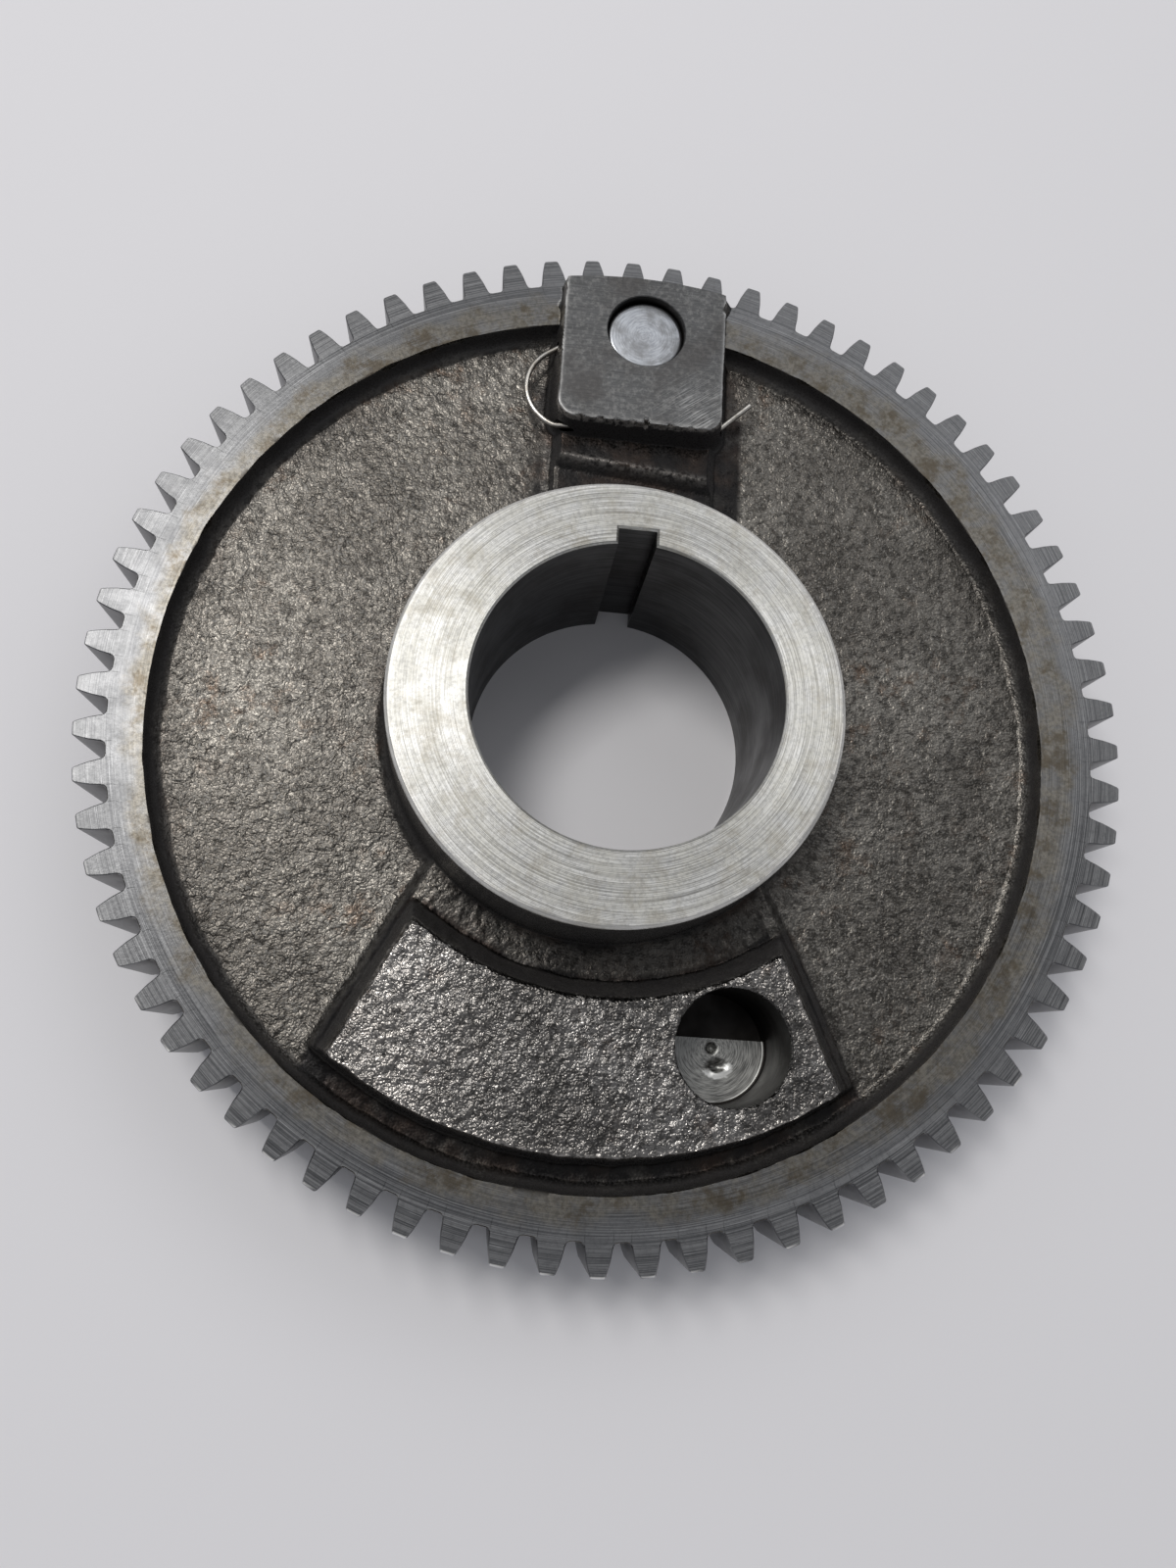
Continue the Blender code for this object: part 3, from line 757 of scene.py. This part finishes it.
def turned_iron(name, dark, light, stain, stain_share, roughness, anisotropic, per_mm):
    """Turned iron: tool rings, fine bright scratches along them, and mottled stains."""
    made = Surface(name, 1.0, roughness)
    made.shader.inputs["Anisotropic"].default_value = anisotropic
    made.shader.inputs["Anisotropic Rotation"].default_value = 0.25
    tangent = made.add("ShaderNodeTangent")
    tangent.direction_type = "RADIAL"
    tangent.axis = "Z"
    made.put(made.shader, "Tangent", tangent.outputs[0])
    rings = made.noise(1.0, 3, 0.7, where=made.rings((0, 0), per_mm))
    bands = made.noise(1.0, 2, 0.5, where=made.rings((0, 0), per_mm / 7, 3.0))
    scratches = made.noise(1.0, 2, 0.6, where=made.rings((0, 0), per_mm * 1.3, 9.0))
    mottle = made.noise(330, 5, 0.7)
    tone = made.mix(made.span(rings, 0.36, 0.62), dark, light)
    tone = made.mix(made.span(bands, 0.35, 0.7, 0.0, 0.15), tone, dark)
    speckle = made.noise(2300, 2, 0.6)
    tone = made.mix(made.span(speckle, 0.5, 0.34, 0.0, 0.3), tone, dark)
    tone = made.mix(made.span(scratches, 0.6, 0.74, 0.0, 0.5), tone, scaled(light, 2.2))
    edge = made.math("ADD", made.radius, made.span(made.noise(160, 4, 0.65), 0.3, 0.7, -1.1, 1.1))
    inner = made.span(edge, STAIN_EDGE + 1.2, STAIN_EDGE - 1.2)
    stains = made.math("MULTIPLY", made.span(mottle, 0.36, 0.6, 0.35, 1.0), stain_share)
    grains = made.span(speckle, 0.36, 0.64)
    stained = made.mix(grains, scaled(stain, 0.78), scaled(stain, 1.2))
    tone = made.mix(made.math("MULTIPLY", inner, stains), tone, stained)
    rusty = made.span(made.noise(230, 6, 0.75), 0.48, 0.63, 0.0, 0.9 * stain_share)
    rust = tuple(part * tint for part, tint in zip(stain, (0.55, 0.49, 0.41)))
    tone = made.mix(made.math("MULTIPLY", inner, rusty), tone, rust)
    # Oily dark and painted shade from the mask.
    tone = made.mix(made.math("MULTIPLY", made.mask("shade_and_oil"), 0.85, clamp=True), tone, OIL_AND_SHADE)
    # Bright worn edges and painted glints.
    tone = made.mix(made.mask("wear_and_glint"), tone, (0.92, 0.9, 0.87))
    made.colour(tone)
    blotch = made.span(mottle, 0.3, 0.75, roughness - 0.03, roughness + 0.07)
    made.rough(made.math("ADD", blotch, made.span(rings, 0.3, 0.7, -0.05, 0.06)))
    made.bump(rings, 0.012, 0.6)
    made.bump(speckle, 0.02, 0.5)
    return made.material


def milled_iron():
    """The boss's face: fine straight tool marks and scratches."""
    made = Surface("milled_iron", 1.0, 0.42)
    lines = made.noise(1.0, 3, 0.6, stretch=(160, 5200, 160))
    cloud = made.noise(120, 4, 0.6)
    tone = made.mix(made.span(lines, 0.3, 0.7), (0.07, 0.071, 0.072), (0.11, 0.11, 0.111))
    speckle = made.noise(1700, 3, 0.65)
    tone = made.mix(made.span(speckle, 0.42, 0.7, 0.0, 0.7), tone, (0.18, 0.178, 0.174))
    tone = made.mix(made.span(cloud, 0.46, 0.66, 0.0, 0.6), tone, (0.066, 0.062, 0.06))
    scratch = made.add("ShaderNodeVectorRotate", Vector=made.place)
    scratch.rotation_type = "Z_AXIS"
    scratch.inputs["Angle"].default_value = math.radians(-38)
    marks = made.noise(1.0, 2, 0.5, where=scratch.outputs[0], stretch=(260, 7500, 260))
    scored = made.math("MULTIPLY", made.span(marks, 0.46, 0.74, 0.0, 0.6), made.mask("scored"))
    tone = made.mix(scored, tone, (0.52, 0.52, 0.51))
    # Bright worn edges and chips; the boss's edge is partly a painted highlight.
    tone = made.mix(made.mask("wear_and_glint"), tone, (0.95, 0.94, 0.92))
    made.colour(tone)
    made.rough(made.span(made.noise(500, 3, 0.6), 0.3, 0.7, 0.36, 0.52))
    made.bump(lines, 0.008, 0.6)
    made.bump(speckle, 0.02, 0.6)
    return made.material


def tooth_iron():
    """Flanks and tips of the teeth: cut metal, dulled, darker towards the roots, with bright wear and
    painted glints.
    """
    made = Surface("tooth_iron", 1.0, 0.42)
    lines = made.noise(1.0, 3, 0.6, stretch=(900, 900, 3000))
    cloud = made.noise(220, 4, 0.6)
    tone = made.mix(made.span(cloud, 0.35, 0.7), (0.13, 0.13, 0.135), (0.26, 0.26, 0.265))
    # Darker towards the roots, from the mask.
    tone = made.mix(made.math("MULTIPLY", made.mask("shade_and_oil"), 0.8, clamp=True), tone, OIL_AND_SHADE)
    # Painted glints on the lower teeth's tips, and bright worn edges.
    tone = made.mix(made.mask("wear_and_glint"), tone, (0.78, 0.78, 0.78))
    made.colour(tone)
    made.rough(made.span(cloud, 0.3, 0.7, 0.34, 0.5))
    made.bump(lines, 0.01, 0.6)
    return made.material


def bored_iron(name, dark, light, roughness):
    """The bore and the drilled holes: dark tones that paint the shade inside them, with rings along the
    axis.
    """
    made = Surface(name, 1.0, roughness)
    rings = made.noise(1.0, 3, 0.6, stretch=(130, 130, 2600))
    cloud = made.noise(110, 4, 0.6)
    tone = made.mix(made.span(rings, 0.3, 0.7), dark, light)
    tone = made.mix(made.span(cloud, 0.45, 0.75, 0.0, 0.6), tone, (0.035, 0.03, 0.027))
    made.colour(tone)
    made.rough(made.span(cloud, 0.3, 0.7, roughness - 0.05, roughness + 0.12))
    made.bump(rings, 0.02, 0.6)
    return made.material


def hole_floor():
    """The drilled floor of the balance hole, with its tool rings."""
    made = Surface("drilled_floor", 1.0, 0.42)
    rings = made.noise(1.0, 3, 0.6, where=made.rings(BALANCE_HOLE, 7.0, 3.0))
    tone = made.mix(made.span(rings, 0.3, 0.7), (0.16, 0.16, 0.155), (0.5, 0.5, 0.48))
    tone = made.mix(made.mask("wear_and_glint"), tone, (0.9, 0.9, 0.88))
    made.colour(tone)
    made.rough(made.span(rings, 0.3, 0.7, 0.35, 0.5))
    made.bump(rings, 0.02, 0.7)
    return made.material


def pin_steel():
    """The lock pin's faced and handled steel, a little bluish."""
    made = Surface("pin_steel", 1.0, 0.36)
    rings = made.noise(1.0, 3, 0.6, where=made.rings(LOCK_AXIS, 5.0, 2.0))
    cloud = made.noise(330, 5, 0.65)
    tone = made.mix(made.span(rings, 0.3, 0.7), (0.27, 0.28, 0.3), (0.43, 0.445, 0.47))
    tone = made.mix(made.span(cloud, 0.42, 0.66, 0.0, 0.75), tone, (0.18, 0.182, 0.186))
    # Painted shade on the pin's side inside its hole.
    tone = made.mix(made.mask("shade_and_oil"), tone, (0.05, 0.045, 0.04))
    made.colour(tone)
    made.rough(made.span(cloud, 0.3, 0.75, 0.3, 0.5))
    made.bump(rings, 0.01, 0.5)
    made.bump(made.noise(800, 3, 0.6), 0.02, 0.4)
    return made.material


def spring_steel():
    """The bright wire, with a few dull patches."""
    made = Surface("spring_steel", 1.0, 0.28)
    cloud = made.noise(600, 4, 0.6)
    made.colour(made.mix(made.span(cloud, 0.4, 0.75), (0.62, 0.59, 0.54), (0.3, 0.27, 0.23)))
    made.rough(made.span(cloud, 0.3, 0.7, 0.2, 0.4))
    made.bump(made.noise(2500, 2, 0.5), 0.008, 0.5)
    return made.material


# ---- finish of the casting


def face_facts(mesh):
    count = len(mesh.polygons)
    centres, normals = np.empty(count * 3), np.empty(count * 3)
    mesh.polygons.foreach_get("center", centres)
    mesh.polygons.foreach_get("normal", normals)
    return centres.reshape(-1, 3).T / MM, normals.reshape(-1, 3).T


def assign_materials(mesh, materials):
    """Gives each face the finish of the tool that made it."""
    (x, y, z), (_, _, up) = face_facts(mesh)
    from_centre, radius = distance(x, y, CAST_CENTRE), np.hypot(x, y)
    boss_out = boss_side(x, y)
    from_lock, from_hole = distance(x, y, LOCK_AXIS), distance(x, y, BALANCE_HOLE)
    pocket_y = BALANCE_HOLE[1] + POCKET_EDGE
    above_back = z > POCKET_FLOOR - 0.2
    pad_top = (outside_sector(x, y) < 0.35) & (z > PAD_TOP - 0.8) & (y < 0)
    rim_face = (z > RIM_FRONT - 0.06) | (z < RIM_BACK + 0.06)
    hub_face = (z > HUB_FRONT - HUB_CHAMFER - 0.1) | (z < HUB_CHAMFER + 0.1)
    boss_face = (z > BOSS_TOP - 0.12) & (boss_out < 0.1) & (y > 0) & (radius > 38)
    keyway = (np.abs(x) < KEYWAY_WIDTH / 2 + 0.02) & (y > 0) & (radius < KEYWAY_REACH + 0.2)
    hole_wall = (from_hole < BALANCE_HOLE_RADIUS + 0.02) & (z < PAD_TOP - 0.4) & above_back
    in_hole = (from_hole < BALANCE_HOLE_RADIUS - 0.27) & (z < BALANCE_HOLE_FLOOR + 1) & above_back
    rules = (
        ("cast_pad", pad_top & (up > 0.3)),
        ("turned_rim", (from_centre > RECESS_RADIUS - 0.3) & (np.abs(up) > 0.6) & rim_face),
        ("tooth_iron", radius > ROOT_RADIUS + 0.02),
        ("milled_iron", boss_face),
        ("turned_hub", (from_centre < HUB_RADIUS + 0.05) & hub_face),
        ("bored_iron", (radius < BORE_RADIUS + 0.05) | keyway),
        ("drilled_iron", (from_lock < LOCK_HOLE_RADIUS + 0.02) & (np.abs(up) < 0.3)),
        ("drilled_iron", hole_wall),
        ("drilled_floor", in_hole & (y < pocket_y)),
        # The pocket beyond the straight edge takes the dark drilled tones, painted shade.
        ("drilled_iron", in_hole & (z < BALANCE_HOLE_FLOOR - 0.3) & (y > pocket_y - 0.01)),
        ("turned_rim", (radius > ROOT_RADIUS) & (np.abs(up) > 0.9)),
    )
    choice = np.full(len(x), materials.index("cast_web"))
    for name, where in rules:
        choice[where] = materials.index(name)
    mesh.polygons.foreach_set("material_index", choice.astype(np.int32))


def store(mesh, name, values):
    attribute = mesh.attributes.new(name, "FLOAT", "POINT")
    attribute.data.foreach_set("value", values.astype(np.float32))


def smooth(piece, sharp):
    """Shades a piece smooth, apart from edges sharper than a number of degrees."""
    piece.data.shade_smooth()
    piece.data.set_sharp_from_angle(angle=math.radians(sharp))


def paint_masks(mesh):
    """Point values from 0 to 1: oily dark and painted shade and shadow in hollows and beside walls,
    bright wear with painted glints, scores on the boss.
    """
    points = np.empty(len(mesh.vertices) * 3)
    mesh.vertices.foreach_get("co", points)
    x, y, z = points.reshape(-1, 3).T / MM
    from_centre, radius = distance(x, y, CAST_CENTRE), np.hypot(x, y)
    boss_out = np.where(y > 0, boss_side(x, y), 99)
    outer, inner, left, right = sector_sides(x, y)
    ragged = value_noise(x, y, z, 4.0, 21) * 0.35 + value_noise(x, y, z, 1.3, 22) * 0.15
    shaded = 0.5 + 0.5 * (0.69 * y - 0.72 * x) / radius
    in_recess = from_centre < RECESS_RADIUS
    from_rim, from_hub = RECESS_RADIUS - 0.4 - from_centre, from_centre - HUB_RADIUS - HUB_DRAFT
    # Painted shadow of the rim's wall, widest at the upper left, away from the lamp; painted shade and
    # oily dark at the hub's foot.
    by_rim = np.exp(-np.maximum(from_rim, 0) / (0.4 + 1.3 * shaded)) * in_recess
    by_hub = np.exp(-np.maximum(from_hub, 0) / 2.0) * (z < HUB_FRONT - 1)
    on_back = np.maximum(by_rim, by_hub)
    # Painted shade and oily dark on the web around and below the boss.
    below_boss = np.exp(-np.maximum(boss_out - 1.2, 0) / 2.6) * (z < BOSS_TOP - 0.6) * in_recess
    on_rim = (z > RIM_FRONT - 0.3) * smooth_step(48, 53, y)
    hollows = [on_back, below_boss * (boss_out > 0.15) * (1 - on_rim)]
    side = np.maximum.reduce((outer, inner, left, right))
    # Painted shade in the groove beside the counterweight's walls.
    hollows.append(np.exp(-np.abs(side - 1.6) / 1.2) * (z < PAD_TOP - 0.7) * (y < 0))
    # Painted shadow bands beside the saddle, wider on its right, away from the lamp.
    by_saddle = (x - BOSS_CENTRE_X - SADDLE_HALF_WIDTH, BOSS_CENTRE_X - SADDLE_HALF_WIDTH - x)
    for out, start, end in zip(by_saddle, (4.3, 1.5), (5.6, 7.6)):
        band = smooth_step(-0.7, 0.2, out) * (1 - smooth_step(start, end, out))
        hollows.append(band * (y > 20) * (y < 46))
    # The saddle: painted shadow of the boss with oily dark, lighter at the lip.
    on_saddle = (np.abs(x - BOSS_CENTRE_X) < SADDLE_HALF_WIDTH) & (y > 20) & (boss_out > 0)
    by_lip = np.exp(-(((y - saddle_lip(x)) / 0.55) ** 2))
    hollows.append(on_saddle * (1.8 - 1.15 * by_lip))
    # Painted shade in the valley between hub and pad and on the ledge.
    between = (left < 0.5) & (right < 0.5) & (y < 0)
    hollows.append(between * smooth_step(0.1, 0.5, inner) * (1 - smooth_step(2.4, 3.8, inner)))
    hollows.append(0.5 * between * (inner > 0.5))
    hollows.append(1.05 * between * smooth_step(0.1, 0.6, outer) * in_recess)
    # Painted shadow bands beyond the pad's ends, wider on the right.
    for end, width in ((right, 2.8), (left, 2.0)):
        past_end = smooth_step(0.1, 0.6, end) * (1 - smooth_step(width, width + 1.4, end))
        hollows.append(past_end * (y < 0) * (inner < 2))
    front = z > (WEB_BACK + WEB_FRONT) / 2
    # Front: painted shade and shadow with oily dark; back: darker at the rim's and hub's feet.
    hollow = np.where(front, np.maximum.reduce(hollows), on_back)
    shade_and_oil = np.clip(hollow * (1.05 + ragged), 0, 1)
    # Turned faces darken only towards the tooth roots.
    turned = (from_centre < HUB_RADIUS) | (from_centre > RECESS_RADIUS)
    flank = (radius > ROOT_RADIUS - 0.05) * (z < RIM_FRONT - 0.2)
    root = np.clip((ROOT_RADIUS + 1.6 - radius) / 1.6, 0, 1) * flank
    shade_and_oil = np.where(turned & (boss_out > 0), np.clip(root * (0.8 + ragged), 0, 1), shade_and_oil)
    from_edge = np.abs(from_centre - HUB_RADIUS + HUB_CHAMFER / 2)
    # Bright marks: worn edges, fresh chips and burrs, and painted glints.
    bright = [np.exp(-from_edge / 0.22) * (z > HUB_FRONT - 1)]
    # The boss's edge: bright wear, partly a painted highlight.
    bright.append(0.75 * np.exp(-np.abs(boss_out - 0.02) / 0.12) * (z > BOSS_TOP - 0.9))
    chipped = (boss_out < 0.2) & (np.abs(y - BOSS_INNER_Y) < 2.5)
    bright.append(chipped & (z < BOSS_TOP - 0.1) & (z > BOSS_TOP - 1.7))
    # Painted glints along the saddle's lip.
    bright.append(0.2 * on_saddle * by_lip * front)
    on_pad = (z > PAD_TOP - 0.9) & (y < 0)
    bright.append(0.8 * np.exp(-np.abs(side) / 0.4) * on_pad * (inner < -1))
    tooth_edge = (radius > ROOT_RADIUS + 0.5) & (np.abs(z - RIM_FRONT + TOOTH_CHAMFER) < 0.03)
    tip = (radius > TIP_RADIUS - 0.2) & (z > RIM_FRONT - 0.2)
    nicked = smooth_step(-0.2, 0.3, value_noise(x, y, z, 1.6, 23))
    bright.append(0.3 * tooth_edge * nicked)
    # Painted glints on the lower teeth's tips.
    bright.append(1.5 * tip * nicked * smooth_step(-20, -45, y))
    # Painted glints on the pad's left part, towards the lamp.
    bright.append(0.4 * smooth_step(-8, -30, x) * (side < 0) * on_pad)
    dx, dy = from_gouge(x, y)
    gouge = np.hypot(dx / GOUGE_REACH[0], dy / GOUGE_REACH[1])
    burr = (gouge > 0.6) & (gouge < 1.15) & (dy - GOUGE_LEAN * dx < 0.15)
    burr = burr & (z < BALANCE_HOLE_FLOOR + 0.15) & (z > POCKET_FLOOR - 0.2)
    bright.append(1.3 * burr)
    wear_and_glint = np.clip(np.maximum.reduce(bright) * (0.75 + 1.2 * ragged), 0, 1)
    scored = smooth_step(0, 9, x) * smooth_step(51, 43, y) * (y > 0)
    for name, values in (("shade_and_oil", shade_and_oil), ("wear_and_glint", wear_and_glint), ("scored", scored)):
        store(mesh, name, values)


def gear_casting():
    """The whole casting: the blank with everything cut into it, its finishes and its masks."""
    casting = blank()
    lock_hole = round_cutter(LOCK_AXIS, LOCK_HOLE_RADIUS, RIM_BACK - 2, BOSS_TOP + 2, BOSS_TOP, 0.12)
    cut(casting, joined("axis_cutters", [bore_cutter(), balance_cutter(), lock_hole]))
    cut(casting, joined("side_cutters", wire_hole_cutters() + [pocket_cutter()]))
    casting.data.name = "gear_casting"
    surfaces = {
        "cast_web": cast_iron("cast_web", *WEB_COLOURS, rust=0.6, relief=0.9, roughness=0.4),
        "cast_pad": cast_iron("cast_pad", *PAD_COLOURS, rust=0.3, relief=1.4, roughness=0.29),
        "turned_rim": turned_iron("turned_rim", *RIM_COLOURS, 0.85, 0.37, anisotropic=0.66, per_mm=8.0),
        "tooth_iron": tooth_iron(),
        "milled_iron": milled_iron(),
        "turned_hub": turned_iron("turned_hub", *HUB_COLOURS, 0.3, 0.47, anisotropic=0.56, per_mm=11.0),
        "bored_iron": bored_iron("bored_iron", *BORE_SHADE_COLOURS, roughness=0.36),
        "drilled_iron": bored_iron("drilled_iron", *DRILLED_SHADE_COLOURS, roughness=0.45),
        "drilled_floor": hole_floor(),
    }
    casting.data.materials.clear()
    for made in surfaces.values():
        casting.data.materials.append(made)
    assign_materials(casting.data, list(surfaces))
    paint_masks(casting.data)
    smooth(casting, 42)
    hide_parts("gear")
    return casting


# ---- pin and spring


def turned_solid(name, profile, centre, steps):
    """A solid of revolution from a (radius, z) profile, closed flat at both ends."""
    turns = [2 * math.pi * i / steps for i in range(steps)]
    sections = [[(*polar(radius, turn, centre), z) for turn in turns] for radius, z in profile]
    return mesh_object(name, *loft(sections))


def lock_pin():
    """The lock pin: a faced end with a rounded edge softened by wear, and two detent grooves."""
    profile = [(0.2, PIN_BACK), (PIN_RADIUS - 0.7, PIN_BACK), (PIN_RADIUS, PIN_BACK + 0.7)]
    for z in (WIRE_HEIGHT - PIN_TRAVEL, WIRE_HEIGHT):
        profile += [
            (PIN_RADIUS, z - GROOVE_HALF_WIDTH - 0.3),
            (GROOVE_FLOOR_RADIUS, z - GROOVE_HALF_WIDTH),
            (GROOVE_FLOOR_RADIUS, z + GROOVE_HALF_WIDTH),
            (PIN_RADIUS, z + GROOVE_HALF_WIDTH + 0.3),
        ]
    edge, sink = 0.62, 0.06
    profile += [(PIN_RADIUS, PIN_FRONT - edge)]
    for i in range(1, 7):
        turn = math.radians(90 * i / 6)
        radius = PIN_RADIUS - edge + edge * math.cos(turn)
        profile.append((radius, PIN_FRONT - sink - (edge - sink) * (1 - math.sin(turn))))
    for radius in (3.6, 2.4, 1.2, 0.2):
        profile.append((radius, PIN_FRONT - sink + 0.05 * (1 - (radius / 4.6) ** 2)))
    pin = turned_solid("lock_pin_turned", profile, LOCK_AXIS, 128)
    pin.data.materials.append(pin_steel())
    points = np.array([v.co for v in pin.data.vertices]) / MM
    out = distance(points[:, 0], points[:, 1], LOCK_AXIS)
    # Painted shade on the pin's side below its face, inside the hole.
    shade_into_hole = np.clip((PIN_FRONT - 0.5 - points[:, 2]) / 0.6, 0, 0.75) * (out > PIN_RADIUS - 0.3)
    store(pin.data, "shade_and_oil", shade_into_hole)
    smooth(pin, 35)
    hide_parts("lock_pin")
    return pin


def detent_spring():
    """The bent wire that passes twice through the boss."""
    points = wire_path()[0]
    spring = mesh_object("detent_wire", *tube(at_wire_height(points), WIRE_RADIUS, 20))
    spring.data.materials.append(spring_steel())
    smooth(spring, 50)
    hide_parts("detent_spring")
    return spring


# ---- floor, light, camera


def floor():
    half = 1500
    corners = [(-half, -half, 0), (half, -half, 0), (half, half, 0), (-half, half, 0)]
    made = mesh_object("floor", corners, [[0, 1, 2, 3]])
    surface = Surface("floor_white", 0.0, 0.9, FLOOR_WHITE)
    made.data.materials.append(surface.material)


def area_light(name, place, size, watts, colour):
    """A rectangular light at a place in metres, turned to the gear."""
    light = bpy.data.lights.new(name, "AREA")
    light.shape = "RECTANGLE"
    light.size, light.size_y = size
    light.energy = watts
    light.color = colour
    made = add_object(name, light)
    made.location = place
    towards = Vector((0, 0, 0.01)) - Vector(place)
    made.rotation_euler = towards.to_track_quat("-Z", "Y").to_euler()


def studio():
    scene = bpy.context.scene
    world = bpy.data.worlds.new("soft_room")
    world.use_nodes = True
    background = world.node_tree.nodes["Background"]
    background.inputs["Color"].default_value = (0.93, 0.95, 1.0, 1)
    background.inputs["Strength"].default_value = 0.345
    scene.world = world
    scene.view_settings.view_transform = "Standard"
    area_light("window", (-0.29, 0.28, 0.85), (0.34, 0.26), 3.95, (1.0, 0.985, 0.96))
    area_light("fill", (0.35, 0.62, 0.8), (0.9, 0.5), 1.4, (0.97, 0.98, 1.0))


def camera():
    made = add_object("camera", bpy.data.cameras.new("camera"))
    made.data.sensor_width = SENSOR
    made.data.sensor_fit = "AUTO"
    made.data.lens = LENS
    made.data.clip_start = 0.005
    right, forward = Vector(CAMERA_RIGHT), Vector(CAMERA_FORWARD)
    up = right.cross(forward)
    axes = Matrix((right, up, -forward)).transposed().to_4x4()
    made.matrix_world = Matrix.Translation(Vector(CAMERA_PLACE) * MM) @ axes
    bpy.context.scene.camera = made


camera()
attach(gear_casting(), "gear")
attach(lock_pin(), "lock_pin")
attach(detent_spring(), "gear")
floor()
studio()
